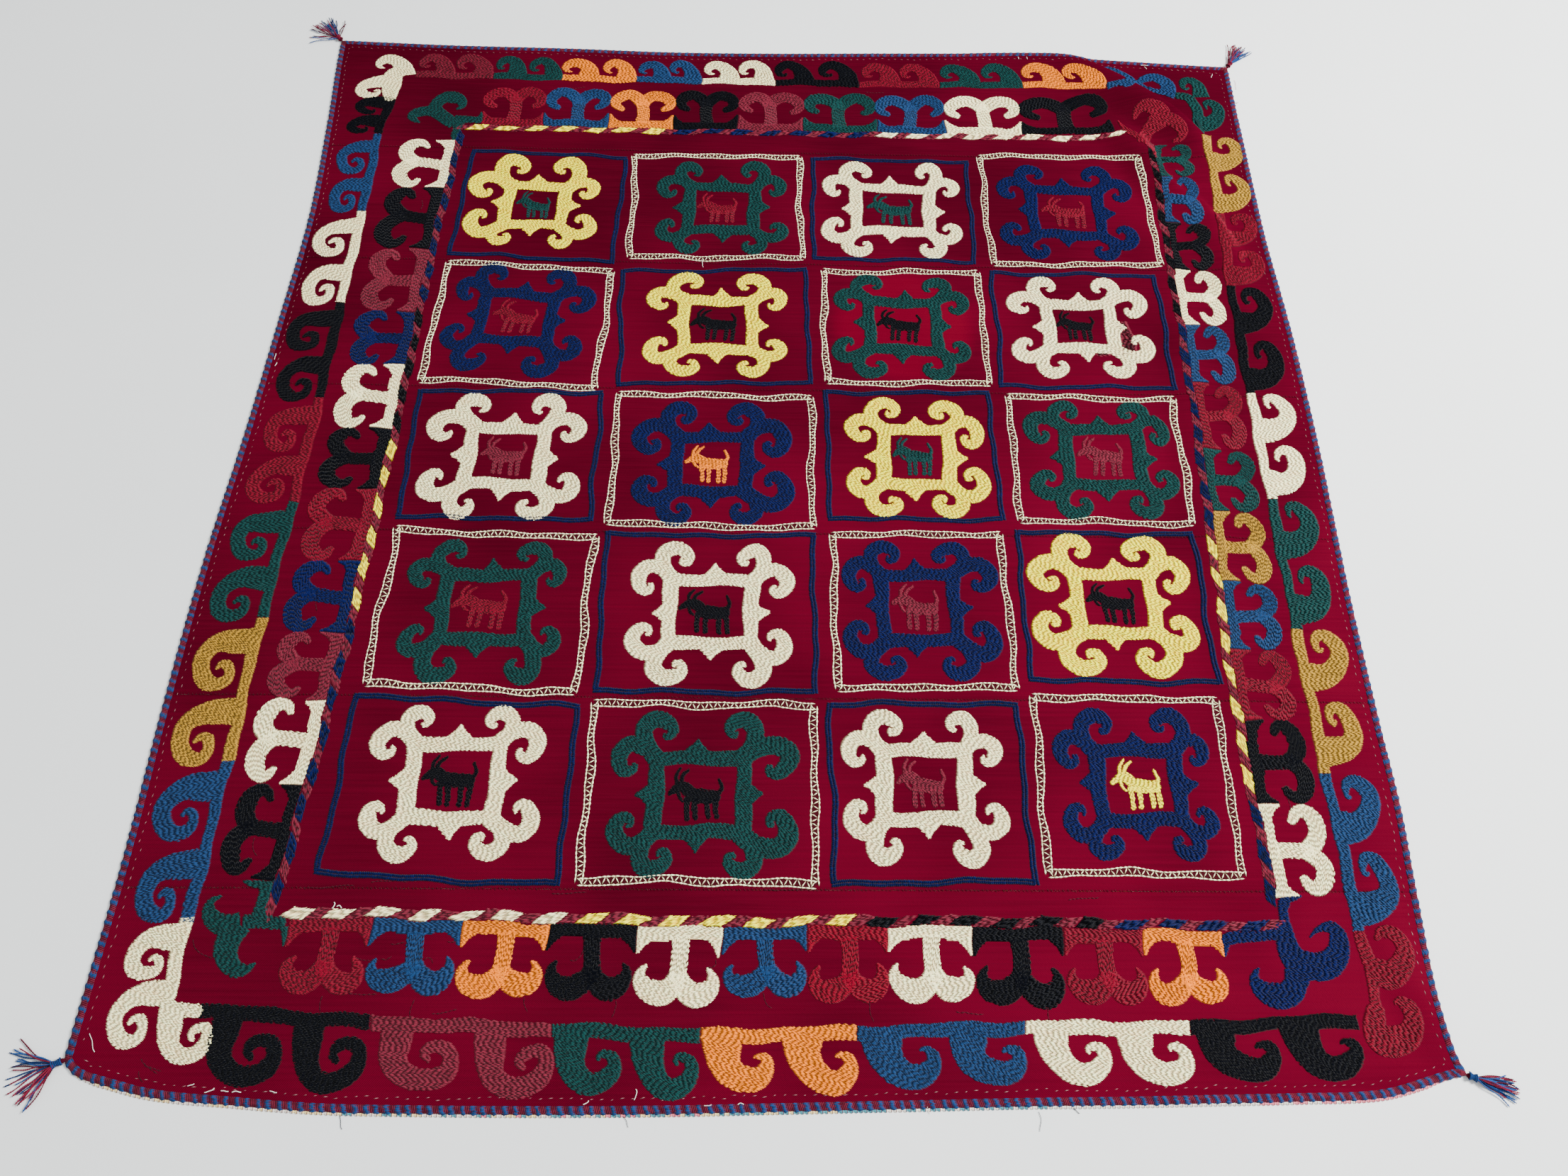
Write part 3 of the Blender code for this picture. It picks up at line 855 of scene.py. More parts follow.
def bed_mesh(name, groups):
    """Thin closed strips under the stitches, with more points across where the cloth is folded."""
    points, heights, faces = [], [], []
    start = 0
    for number, (left, right) in enumerate(groups):
        level = BED_RISE - BED_DROP * (number % 5)
        across = 8 if folds(*((left + right) / 2).T).max() > FOLDED else 2
        share = np.linspace(0, 1, across)[None, :, None]
        top = left[:, None] * (1 - share) + right[:, None] * share
        ring = np.concatenate([top, top[:, ::-1]], 1)
        count, size = len(left), 2 * across
        points.append(ring.reshape(-1, 2))
        heights.append(np.tile([level] * across + [BED_BOTTOM] * across, count))
        corner = np.arange(size)
        after = (corner + 1) % size
        step = start + size * np.arange(count - 1)[:, None]
        sides = np.stack([step + corner, step + after, step + size + after, step + size + corner], -1)
        faces.append(sides.reshape(-1, 4))
        cap = np.arange(across - 1)
        for end, order in ((start, (3, 2, 1, 0)), (start + size * (count - 1), (0, 1, 2, 3))):
            quads = np.stack([end + cap, end + cap + 1, end + size - 2 - cap, end + size - 1 - cap], -1)
            faces.append(quads[:, order])
        start += size * count
    return np.concatenate(points), np.concatenate(heights), np.concatenate(faces)


print("strokes ready")

# %% [markdown]
# ## Medallions
# Twenty horned medallions stand in a grid, each a square ring with two horns at every corner, which curl
# back over the sides, and a small spike at the middle of each side. No two are alike, so a table gives each
# one's opening, tilt and reach, and one horn and one spike serve them all.

# %% Medallion table
# colour, x, y, half width and half height of the opening, tilt, then how far the horns reach left, right,
# up and down from the middle, and how far they curl (0 open, 1 tight)
MEDALLIONS = (
    ("yellow", -464, 515, 38, 34, -2, 124, 113, 123, 97, 0.3),
    ("green", -141, 515, 45, 40, 0, 117, 118, 117, 108, 0.2),
    ("cream", 158, 519, 52, 40, -1, 127, 122, 118, 115, 0.2),
    ("navy", 463, 519, 48, 42, -1, 123, 125, 117, 113, 0.1),
    ("navy", -471, 266, 45, 38, -6, 115, 124, 114, 120, 0.3),
    ("yellow", -141, 257, 45, 40, 0, 123, 116, 115, 109, 0.2),
    ("green", 163, 260, 44, 39, -1, 119, 113, 111, 112, 0.2),
    ("cream", 456, 264, 41, 35, 1, 121, 122, 109, 110, 0.3),
    ("cream", -461, -5, 44, 41, -1, 131, 123, 122, 118, 0.2),
    ("navy", -145, -15, 43, 39, 0, 125, 129, 119, 111, 0.9),
    ("yellow", 171, 2, 40, 40, -1, 112, 112, 111, 111, 1.0),
    ("green", 463, 6, 45, 41, 0, 123, 112, 107, 114, 0.8),
    ("green", -461, -263, 48, 41, 0, 120, 115, 112, 123, 0.3),
    ("cream", -139, -267, 47, 40, -1, 121, 122, 114, 119, 0.6),
    ("navy", 161, -258, 41, 42, 0, 113, 121, 111, 116, 0.6),
    ("yellow", 446, -248, 44, 37, -1, 126, 119, 117, 118, 1.0),
    ("cream", -474, -521, 46, 41, 0, 120, 121, 109, 111, 0.5),
    ("green", -147, -539, 47, 40, 0, 123, 136, 120, 114, 0.5),
    ("cream", 154, -523, 43, 37, 0, 113, 112, 107, 114, 0.5),
    ("navy", 443, -522, 42, 38, 0, 112, 104, 112, 104, 0.5),
)
RING = 22.5
RING_ASPECT = 0.92
HORN_REACH = 75.5
HORN_SLIM = 0.94
# Rows of a stroke: along the side towards its middle, out from the ring's corner, half width
OPEN_HORN = ((2, -4, 14), (-12, 14, 14), (-19, 31, 13.5), (-19, 46, 14), (-8, 57.5, 15), (6, 57, 13.5),
             (15.5, 48.5, 10.5), (16, 40, 8), (12.5, 35.5, 5.5), (8.5, 34, 3))
TIGHT_HORN = ((2, -4, 14), (-12, 14, 14), (-19, 31, 14.5), (-17, 47, 15), (-3, 59, 15), (13, 58, 13.5),
              (25, 47, 11.5), (22, 34, 9), (12, 32, 6.5), (11, 39, 3.5))
SPIKE = ((-20, -4), (-12, 4), (-6, 10), (-1.5, 18), (1.5, 18), (6, 11), (12, 5), (20, -4))
print("medallions listed:", len(MEDALLIONS))


# %% Medallions
def blended(first, second, share):
    return np.array(first, float) * (1 - share) + np.array(second, float) * share


def ring_bands(place, wide, tall):
    """Four straight bands round the opening, with square ends."""
    shapes = []
    outer_x, outer_y = wide + RING, tall + RING * RING_ASPECT
    for side in (-1, 1):
        shapes.append([(-outer_x, side * tall), (outer_x, side * tall), (outer_x, side * outer_y),
                       (-outer_x, side * outer_y)])
        shapes.append([(side * wide, -outer_y), (side * outer_x, -outer_y), (side * outer_x, outer_y),
                       (side * wide, outer_y)])
    return [place.to_cloth(np.array(shape, float)) for shape in shapes]


def fine(shape, step=8.0):
    """A closed shape with more points along its sides, so that the hand's wobble can bend them."""
    points = []
    for first, second in zip(shape, np.roll(shape, -1, 0)):
        count = max(int(np.hypot(*(second - first)) / step), 1)
        points += [first + (second - first) * k / count for k in range(count)]
    return np.array(points)


def box_bed(colour, shape):
    """A bed under a four-cornered shape."""
    if np.hypot(*(shape[1] - shape[0])) < np.hypot(*(shape[2] - shape[1])):
        shape = np.roll(shape, -1, 0)
    first, second, third, fourth = shape
    along = (second - first) / np.hypot(*(second - first)) * BED_INSET * 0.6
    across = (fourth - first) / np.hypot(*(fourth - first)) * BED_INSET
    count = max(int(np.hypot(*(second - first)) / 12), 2)
    share = np.linspace(0, 1, count)[:, None]
    left = first + along + across + (second - first - 2 * along) * share
    right = fourth + along - across + (third - fourth - 2 * along) * share
    beds[colour].append((wobble(left), wobble(right)))


def medallion(colour, x, y, wide, tall, tilt, left, right, up, down, curl):
    middle = Place(x, y, tilt)
    bands = ring_bands(middle, wide, tall)
    shapes = [fine(band) for band in bands]
    for band in bands:
        box_bed(colour, band)
    strokes = []
    sides = ((90, wide, tall, up), (0, tall, wide, right), (-90, wide, tall, down), (180, tall, wide, left))
    for direction, half, distance, reach in sides:
        for hand in (-1, 1):
            corner = np.array([(half + RING * 0.5) * hand, distance + RING * 0.5])
            size = (reach - corner[1]) / HORN_REACH
            spot = middle.to_cloth(turn_points(corner, direction - 90))
            tight = min(max(curl + chance.uniform(-0.35, 0.35), 0), 1)
            rows = blended(OPEN_HORN, TIGHT_HORN, tight)
            rows[:, 0] *= -hand * chance.uniform(0.9, 1.1)
            rows[1:, 2] *= HORN_SLIM
            strokes.append((Place(*spot, tilt + direction - 90, 0.35 + 0.65 * size, size), rows))
        top = np.array(SPIKE, float) + (chance.uniform(-5, 5), distance + RING * 0.9)
        spike = middle.to_cloth(turn_points(top, direction - 90))
        shapes.append(spike)
        shape_bed(colour, wobble(spike), STITCH_SLANT)
    draw(colour, strokes, shapes=shapes)


for row in MEDALLIONS:
    medallion(*row)
print("medallions:", len(MEDALLIONS))

# %% [markdown]
# ## Goats
# A small goat stands in each medallion's opening: a body, a neck with a long muzzle, two horns swept back, a
# beard, a raised tail and four straight legs, each a single stroke.

# %% Goats
GOAT_BODY = (
    ((-18, 2, 9), (-6, 0, 10.5), (8, -1, 10), (21, 0, 9)),
    ((-13, 4, 8.5), (-22, 10, 8.5), (-31, 10, 6.8), (-42, 3, 3.4)),
    ((-26, 13, 3.2), (-23, 25, 3.0), (-14, 32, 2.0)),
    ((-31, 12, 2.8), (-32, 25, 2.8), (-25, 35, 1.8)),
    ((-31, 6, 2.8), (-27, -3, 2.6), (-22, -7, 1.6)),
    ((25, 3, 3.6), (29, 13, 3.0), (24, 24, 2.2)),
)
GOAT_LEGS = (-16, -5, 13, 24)
# The opening that the goat was drawn for, half its width and half its height
GOAT_ROOM = (47, 40)
FINE_WOOL = {"pitch": 1.35, "length": 5.5, "width": 2.3, "rise": 1.1}
GOATS = ("green", "red", "green", "red", "red", "black", "black", "black", "dull_red", "orange", "green",
         "dull_red", "red", "black", "dull_red", "black", "black", "black", "dull_red", "yellow")


def goat(colour, x, y, wide, tall, tilt):
    place = Place(x + chance.uniform(-3, 3), y - 1, tilt + chance.uniform(-3, 2), wide / GOAT_ROOM[0],
                  tall / GOAT_ROOM[1])
    draw(colour, [(place, rows) for rows in GOAT_BODY], -12.0, **FINE_WOOL)
    legs = [((x_leg + chance.uniform(-1, 1), -2, 4.2), (x_leg, -16, 3.5), (x_leg, -31, 3.3))
            for x_leg in GOAT_LEGS]
    draw(colour, [(place, rows) for rows in legs], -86.0, **FINE_WOOL)


for colour, (_, x, y, wide, tall, tilt, *_) in zip(GOATS, MEDALLIONS):
    goat(colour, x, y, wide, tall, tilt)
print("goats:", len(GOATS))

# Dull red patches where the ground was mended: corners of closed shapes
MENDS = (
    ((514, 206), (524, 204), (545, 212), (543, 250), (538, 276), (522, 274), (516, 240)),
    ((465, 206), (486, 203), (505, 207), (503, 215), (484, 214), (467, 216)),
)
for shape in MENDS:
    draw("dull_red", [], -8.0, [fine(np.array(shape, float))], pitch=2.0, rise=0.7)

# %% [markdown]
# ## Scroll border
# The outer border is a chain of scroll pairs: a bar along its inner edge, from which two comma-shaped scrolls
# swing out and curl back. The same pair runs anticlockwise round the cloth, so each side has a table of
# colours and of the places where one pair ends and the next starts.

# %% Outer border tables
# Where the first pair starts along its side, then (colour, place where it ends, depth, curl)
SCROLL_SIDES = {
    "bottom": (-739, (
        ("black", -534, 88, 1.0), ("dull_red", -316, 86, 0.9), ("green", -136, 84, 0.5),
        ("orange", 55, 78, 0.1), ("blue", 260, 76, 0.2), ("cream", 463, 74, 0.4), ("black", 672, 76, 0.2))),
    "right": (-713, (
        ("blue", -505, 74, 0.4), ("gold", -287, 76, 0.6), ("green", -66, 76, 0.3), ("cream", 131, 76, 0.3),
        ("black", 355, 76, 0.5), ("red", 525, 76, 0.4), ("gold", 716, 76, 0.3))),
    "top": (575, (
        ("orange", 417, 76, 0.2), ("green", 259, 72, 0.1), ("red", 111, 70, 0.2), ("black", -49, 70, 0.3),
        ("cream", -184, 70, 0.1), ("blue", -306, 68, 0.2), ("orange", -447, 68, 0.1),
        ("green", -573, 68, 0.2), ("maroon", -716, 68, 0.2))),
    "left": (775, (
        ("black", 681, 74, 0.3), ("blue", 497, 74, 1.0), ("cream", 292, 80, 1.0), ("black", 98, 84, 1.0),
        ("red", -92, 84, 0.9), ("green", -286, 88, 0.9), ("gold", -497, 90, 1.0), ("blue", -706, 88, 0.9))),
}
# The bar's inner edge: (place along the side, distance out) in the cloth's own x and y
SCROLL_LINES = {
    "bottom": (
        (-740, -803), (-534, -817), (-316, -825), (-136, -832), (55, -828), (200, -822), (460, -822),
        (672, -813)),
    "right": (
        (-713, 691), (-500, 692), (-287, 697), (-66, 703), (131, 708), (355, 716), (525, 727), (716, 735)),
    "top": (
        (-716, 832), (-573, 831), (-306, 829), (-49, 828), (111, 828), (259, 829), (417, 833), (575, 835),
        (700, 812)),
    "left": (
        (-706, -772), (-497, -767), (-286, -765), (-92, -757), (98, -752), (292, -752), (497, -750),
        (681, -753), (775, -743)),
}
BAR = 17.0
SCROLL_LENGTH = 98.0
SCROLL_DEPTH = 80.0
OPEN_SCROLL = ((24.5, 6, 28), (25.5, 24, 25), (29, 38, 21.5), (39, 52, 18), (54, 60.5, 15.5), (69, 61, 14.5),
               (81, 52, 12), (84.5, 43, 9.5), (82.5, 37, 7), (78, 33.5, 4.5), (73.5, 32, 2.8),
               (70.5, 31.6, 1.8), (69, 31.5, 1.2))
TIGHT_SCROLL = ((34, 6, 17.7), (35, 31, 16.8), (36, 45, 15), (43, 59, 12.6), (59, 68, 11.2), (79, 66, 10.7),
                (92, 57, 11), (95, 44, 9), (90, 34, 8.2), (79, 31, 7), (69, 34.5, 7), (66.5, 42.5, 5.5),
                (72, 48, 3.5))
print("pairs listed:", {side: len(pairs) for side, (_, pairs) in SCROLL_SIDES.items()})


# %% Scrolls
def side_span(side, lines, start, end):
    """Two spots on a side's line, the direction from the first to the second, and how far it is."""
    spots = []
    for along in (start, end):
        out = float(np.interp(along, *np.array(lines[side], float).T))
        spots.append(np.array((along, out) if side in ("top", "bottom") else (out, along)))
    way = spots[1] - spots[0]
    return *spots, math.degrees(math.atan2(way[1], way[0])), math.dist(*spots)


def scroll(x, y, direction, length, depth, curl):
    """One comma-shaped scroll, swinging out to the right of its direction."""
    rows = blended(OPEN_SCROLL, TIGHT_SCROLL, min(max(curl, 0), 1))
    place = Place(x, y, direction, length / SCROLL_LENGTH, depth / SCROLL_DEPTH, flip=True)
    return place, rows


def bar_shape(first, second, thick, direction):
    """A bar between two spots, with its thickness on the outer side."""
    out = turn_points(np.array([0, -thick], float), direction)
    return np.array([first, second, second + out, first + out])


def scroll_pair(colour, side, start, end, depth, curl):
    first, second, tilt, length = side_span(side, SCROLL_LINES, start, end)
    strokes = []
    for half in (0.0, 0.5):
        share = half + chance.uniform(-0.01, 0.01)
        spot = first + (second - first) * share
        strokes.append(scroll(*spot, tilt, length / 2, depth * chance.uniform(0.96, 1.03),
                              curl + chance.uniform(-0.08, 0.08)))
    bar = bar_shape(first, second, BAR, tilt)
    box_bed(colour, bar)
    draw(colour, strokes, chance.uniform(-42, 12), [fine(bar)])


for side, (start, pairs) in SCROLL_SIDES.items():
    for colour, end, depth, curl in pairs:
        scroll_pair(colour, side, start, end, depth, curl)
        start = end
print("scroll pairs:", sum(len(pairs) for _, pairs in SCROLL_SIDES.values()))

# %% [markdown]
# ## Horned T border
# The inner border is a row of T figures: a foot along the guard stripe with a point at each end, a stem, and
# a head of two horns that curl back towards the foot. At the bottom the horns are short and pointed, and on
# the other sides they are rounder and open wider.

# %% Inner border tables
# Where the first figure starts along its side, then (colour, place where it ends, height, roundness)
HORN_SIDES = {
    "bottom": (-653, (
        ("red", -550, 98, 0.3), ("blue", -437, 97, 0.0), ("orange", -329, 99, 0.1), ("black", -218, 98, 0.1),
        ("cream", -112, 104, 0.1), ("blue", -5, 92, 0.1), ("bright_red", 96, 101, 0.1),
        ("cream", 204, 99, 0.0), ("black", 318, 103, 0.1), ("red", 420, 101, 0.0),
        ("orange", 522, 98, 0.1))),
    "right": (-672, (
        ("cream", -548, 88, 0.9), ("black", -428, 88, 0.8), ("red", -320, 84, 0.8), ("blue", -211, 84, 0.8),
        ("gold", -89, 82, 0.9), ("green", 24, 80, 0.8), ("red", 152, 78, 0.9), ("blue", 271, 78, 0.9),
        ("cream", 392, 78, 0.9), ("black", 500, 76, 0.8), ("blue", 612, 72, 0.8), ("green", 690, 70, 0.6))),
    "top": (575, (
        ("black", 406, 102, 0.9), ("cream", 264, 104, 0.8), ("blue", 137, 104, 0.8), ("green", 3, 106, 0.8),
        ("dull_red", -116, 106, 0.8), ("black", -232, 106, 0.9), ("orange", -350, 106, 0.8),
        ("blue", -468, 108, 0.9), ("red", -581, 108, 0.9))),
    "left": (668, (
        ("cream", 552, 102, 0.6), ("black", 410, 102, 0.7), ("dull_red", 274, 100, 0.7),
        ("navy", 165, 100, 0.7), ("cream", 42, 100, 0.6), ("black", -69, 100, 0.7), ("red", -193, 100, 0.7),
        ("navy", -308, 98, 0.7), ("dull_red", -410, 94, 0.6), ("cream", -530, 94, 0.6),
        ("black", -656, 84, 0.6))),
}
GUARD_LINES = {
    "bottom": (
        (-668, -695), (-500, -696), (-300, -701), (-100, -705), (100, -702), (300, -704), (560, -708)),
    "right": (
        (-694, 594), (-400, 594), (-150, 606), (100, 620), (400, 628), (650, 637)),
    "top": (
        (-612, 702), (470, 702), (560, 711), (608, 722)),
    "left": (
        (-694, -681), (-620, -670), (-440, -655), (-250, -644), (0, -635), (180, -630), (400, -627),
        (700, -612)),
}
GUARD_HALF = 7.0
FIGURE_LENGTH = 110.0
FIGURE_HEIGHT = 100.0
STEM = ((0, 12, 12.5), (0, 30, 11), (0, 52, 11), (0, 68, 11))
POINTED_HORN = ((1, 58, 10), (7, 73, 14), (20, 83, 16), (36, 80, 14), (45, 69, 9.5), (45, 59, 5.5),
                (42, 53, 2.5))
ROUND_HORN = ((1, 60, 10), (8, 77, 12.5), (22, 88, 12), (38, 84, 12), (47, 70, 11), (44, 57, 9.5),
              (35, 50, 7.5))
FOOT = ((-55, 0), (55, 0), (55, 35), (51.5, 35), (46, 25), (37, 17), (-37, 17), (-46, 25), (-51.5, 35),
        (-55, 35))
FOOT_BAND = ((-53, 1), (53, 1), (53, 15), (-53, 15))
# How the stitches slant from the figure's own tilt: in its two horns, its stem and its foot
HORN_SLANTS = (18, -22)
STEM_SLANT = 74
FOOT_SLANT = -7
print("figures listed:", {side: len(figures) for side, (_, figures) in HORN_SIDES.items()})


# %% T figures
def figure(colour, side, start, end, height, roundness):
    first, second, tilt, length = side_span(side, GUARD_LINES, start, end)
    out = turn_points(np.array([0, -GUARD_HALF], float), tilt)
    middle = (first + second) / 2 + out
    place = Place(*middle, tilt, length / FIGURE_LENGTH, (height - GUARD_HALF) / FIGURE_HEIGHT, flip=True)
    horn = blended(POINTED_HORN, ROUND_HORN, roundness)
    foot = place.to_cloth(np.array(FOOT, float))
    box_bed(colour, place.to_cloth(np.array(FOOT_BAND, float)))
    shape_bed(colour, wobble(fine(foot)), tilt)
    lean = chance.uniform(-6, 6)
    for hand, slant in zip((1, -1), HORN_SLANTS):
        draw(colour, [(place, horn * (hand, 1, 1))], tilt + slant + lean)
    draw(colour, [(place, STEM)], tilt + STEM_SLANT + lean)
    draw(colour, [], tilt + FOOT_SLANT + lean, [fine(foot)])


for side, (start, figures) in HORN_SIDES.items():
    for colour, end, height, roundness in figures:
        figure(colour, side, start, end, height, roundness)
        start = end
print("T figures:", sum(len(figures) for _, figures in HORN_SIDES.values()))

# %% [markdown]
# ## Corners
# Each border turns its corner with a larger figure. The outer corners gather two or three scrolls on a
# bent bar or, on the right, are strokes listed one by one. The inner ones set two horns on the diagonal.

# %% Outer corners
# colour, then scrolls as (x, y, direction, length, depth, curl), then strokes as rows of x, y, half width
OUTER_CORNERS = (
    ("cream", ((-773, -697, -90, 76, 76, 0.8), (-775, -764, -90, 84, 74, 1.0), (-802, -803, 0, 80, 72, 0.9)),
     (((-781, -700, 9), (-783, -750, 9), (-784, -800, 9)), ((-790, -808, 9), (-765, -808, 8),
                                                            (-741, -811, 8)))),
    ("cream", ((-716, 832, 180, 84, 62, 0.0), (-745, 842, -90, 66, 80, 0.5)),
     (((-740, 850, 14), (-757, 835, 18), (-757, 800, 17), (-754, 778, 12)),)),
    ("red", (), (((699, -713, 7.5), (699, -745, 9), (700, -775, 8), (698, -795, 7), (697, -812, 9)),
                 ((698, -760, 14), (722, -766, 17.5), (741, -757, 15), (751, -739, 12.5), (744, -721, 10),
                  (729, -716, 7.5), (720, -723, 3.5)),
                 ((697, -804, 11), (691, -824, 15), (694, -842, 17), (710, -848, 18), (729, -842, 16),
                  (740, -824, 12), (738, -806, 10), (729, -798, 6.5), (723, -799, 3)))),
    ("blue", (), (((577, 842, 7), (596, 850, 6.5), (612, 853, 9), (626, 850, 12)),
                  ((641, 841, 5), (624, 856, 13), (608, 877, 8), (593, 889, 7), (580, 896, 3.5)),
                  ((684, 818, 17), (690, 836, 15), (688, 856, 14), (673, 868, 12), (655, 865, 9.5),
                   (642, 855, 6), (650, 845, 3)),
                  ((699, 817, 6), (670, 831, 6), (650, 842, 5), (636, 850, 4)))),
    ("green", ((768, 812, 180, 56, 62, 0.3), (727, 722, 90, 92, 64, 0.2)),
     (((701, 819, 8), (725, 815, 10), (735, 790, 11), (734, 750, 10), (738, 724, 6)),)),
)


for colour, scrolls, bars in OUTER_CORNERS:
    draw(colour, [scroll(*row) for row in scrolls] + [(Place(0, 0), rows) for rows in bars])
print("outer corner figures:", len(OUTER_CORNERS))

# %% Inner corners
# A stem, two horns that part from it, and two arms along the guard stripe with pointed feet
INNER_CORNERS = {
    "top_left": ("green", (
        ((-628, 710, 13), (-640, 720, 14), (-652, 731, 14), (-665, 743, 15)),
        ((-668, 748, 12), (-665, 766, 13), (-655, 778, 15), (-642, 779, 15.5), (-629, 774, 13),
         (-621, 766, 9.5), (-621, 757, 6.5), (-628, 751, 3)),
        ((-664, 742, 14), (-681, 743, 12.5), (-697, 738, 12.5), (-706, 728, 10), (-702, 719, 6.5),
         (-693, 713, 2.5)),
        ((-630, 722, 12), (-608, 724, 9), (-594, 723, 8), (-588, 722, 9)),
        ((-583, 728, 6), (-583, 735, 4), (-583, 742, 1.5)),
        ((-622, 712, 11), (-621, 695, 8), (-622, 682, 7.5), (-622, 676, 7)))),
    "bottom_left": ("green", (
        ((-690, -655, 9), (-690, -662, 8.5), (-691, -680, 8), (-692, -702, 10)),
        ((-693, -661, 6), (-705, -659, 4.5), (-718, -655, 1.5)),
        ((-712, -708, 9.5), (-690, -708, 8.5), (-672, -708, 8), (-663, -707, 8)),
        ((-657, -711, 5), (-655.5, -721, 4), (-655.5, -732, 1.5)),
        ((-715, -708, 13.5), (-733, -710, 13.5), (-748, -705, 12), (-757, -695, 9.5), (-758, -684, 6.5),
         (-753, -677, 4), (-746, -673, 1.8)),
        ((-716, -710, 17), (-724, -726, 16.5), (-726, -742, 15.5), (-720, -755, 12.5), (-708, -762, 9.5),
         (-697, -761, 6), (-689, -756, 2.5)))),
    "bottom_right": ("navy", (
        ((603, -706, 10), (602, -726, 13.5), (606, -742, 16), (612, -757, 18), (606, -770, 16)),
        ((612, -752, 17), (636, -757, 17.6), (654, -751, 17), (667, -735, 14), (668, -718, 12),
         (660, -709, 8.5), (648, -709, 5), (639, -713, 2.8), (633, -720, 1.2)),
        ((606, -762, 14), (600, -778, 15), (590, -788, 15.6), (574, -791, 15.7), (560, -786, 12.5),
         (554, -776, 8.5), (556, -767, 5), (560, -761, 1.8)),
        ((604, -712, 8), (606, -694, 6.5), (607, -686, 7), (609, -680, 8.5)),
        ((610, -676, 5), (621, -673, 3.5), (631, -671, 1.5)),
        ((600, -719, 9), (575, -720, 7), (550, -721, 7), (530, -723, 8), (524, -724, 6)),
        ((525, -728, 6), (523, -737, 4), (521, -746, 1.5)))),
    "top_right": ("red", (
        ((627, 698, 12), (636, 722, 12), (650, 744, 15)),
        ((648, 742, 16), (663, 764, 17), (661, 784, 14), (642, 791, 11.5), (626, 778, 9), (618, 760, 5)),
        ((650, 741, 15), (677, 756, 12), (697, 746, 11), (702, 726, 9.5), (692, 708, 7.5), (680, 702, 4)),
        ((630, 706, 9), (612, 718, 7), (594, 728, 5)),
        ((598, 726, 5), (590, 738, 4), (586, 752, 1.5)),
        ((630, 704, 9), (639, 682, 7), (644, 660, 5)))),
}

for colour, strokes in INNER_CORNERS.values():
    draw(colour, [(Place(0, 0), rows) for rows in strokes])
print("inner corner figures:", len(INNER_CORNERS))

# %% [markdown]
# ## Guard stripe
# A stripe about 14 mm wide divides the field from the borders. It is a rope of slanted leaves: every second
# one is dull red, and the others change colour in long runs.

# %% Guard stripe
LEAF_PITCH = 51.0
LEAF = ((-23, -6), (-10, -7), (5, -6.8), (14, -1), (23, 6), (10, 7), (-5, 6.8), (-14, 1))
# The dull red between this leaf and the next, measured from this leaf's middle
BETWEEN = ((5, -6.4), (14, -1), (23, 6), (34, 6.6), (46, 6.4), (37, 1), (28, -6), (17, -6.6))
# Where each colour of leaf ends, along each side from its start
LEAF_RUNS = {
    "bottom": ((-300, "cream"), (45, "yellow"), (400, "black"), (700, "navy")),
    "right": ((-530, "navy"), (-150, "yellow"), (270, "navy"), (800, "black")),
    "top": ((-250, "yellow"), (110, "navy"), (700, "cream")),
    "left": ((-300, "navy"), (40, "yellow"), (300, "black"), (800, "navy")),
}
GUARD_WAYS = {"bottom": (-672, 590), "right": (-692, 690), "top": (606, -612), "left": (700, -690)}


def leaf_shape(rows, middle, tilt, stretch):
    shape = np.array(rows, float) * (stretch, 1) + chance.uniform(-1.2, 1.2, (len(rows), 2))
    return Place(*middle, tilt).to_cloth(shape)


def guard_side(side, start, end):
    count = int(abs(end - start) / LEAF_PITCH)
    step = (end - start) / count
    for number in range(count):
        along = start + step * (number + 0.5)
        first, second, tilt, length = side_span(side, GUARD_LINES, along - step / 2, along + step / 2)
        colour = next(colour for limit, colour in LEAF_RUNS[side] if along < limit)
        leaf, between = (leaf_shape(rows, (first + second) / 2, tilt, length / LEAF_PITCH)
                         for rows in (LEAF, BETWEEN))
        box_bed("dull_red", between[[0, 2, 4, 6]])
        box_bed(colour, leaf[[0, 6, 4, 2]])
        fill("dull_red", [wobble(fine(between))], tilt + 12, length=12.0)
        fill(colour, [wobble(fine(leaf))], tilt + 20, length=14.0, width=2.5, rise=1.6)


for side, (start, end) in GUARD_WAYS.items():
    guard_side(side, start, end)
print("guard stripe done")

# %% [markdown]
# ## Stitched squares
# A square frame goes round each medallion, by turns a white lattice (two rails with a zigzag laced between
# them, over a dark maroon strip of painted shadow that shows in its holes) and a navy braid (two rows of
# slanted stitches that meet in the middle). Both follow a path with a little wobble, along which stitches
# are set at an even pitch.

# %% Frames
# x, y, half width, half height, tilt, from the top left square on
FRAMES = (
    (-455, 518, 136, 122, -2.7), (-150, 522, 146, 119, 0.6), (156, 521, 137, 118, -0.5),
    (466, 527, 144, 128, 1.1), (-465, 254, 138, 122, -2.7), (-147, 256, 153, 118, 1.6),
    (165, 260, 131, 116, 0.6), (457, 258, 139, 118, -0.4), (-464, 0, 142, 116, 0.0),
    (-142, -6, 152, 119, -0.5), (164, 7, 129, 117, 0.6), (454, 3, 131, 115, -0.9),
    (-463, -266, 145, 123, -2.1), (-143, -266, 152, 125, 0.2), (165, -260, 125, 123, 0.1),
    (446, -251, 132, 120, -0.4), (-473, -530, 152, 122, -2.4), (-144, -532, 151, 122, -0.4),
    (159, -531, 129, 123, 0.7), (438, -520, 127, 122, -1.2),
)
LATTICE_HALF = 4.4
LATTICE_PITCH = 5.8
# A rail's stitches run on past each other by this much
RAIL_SLIP = 2.1
CHAIN_HALF = 4.9
CHAIN_PITCH = 2.6
CHAIN_REACH = 3.4


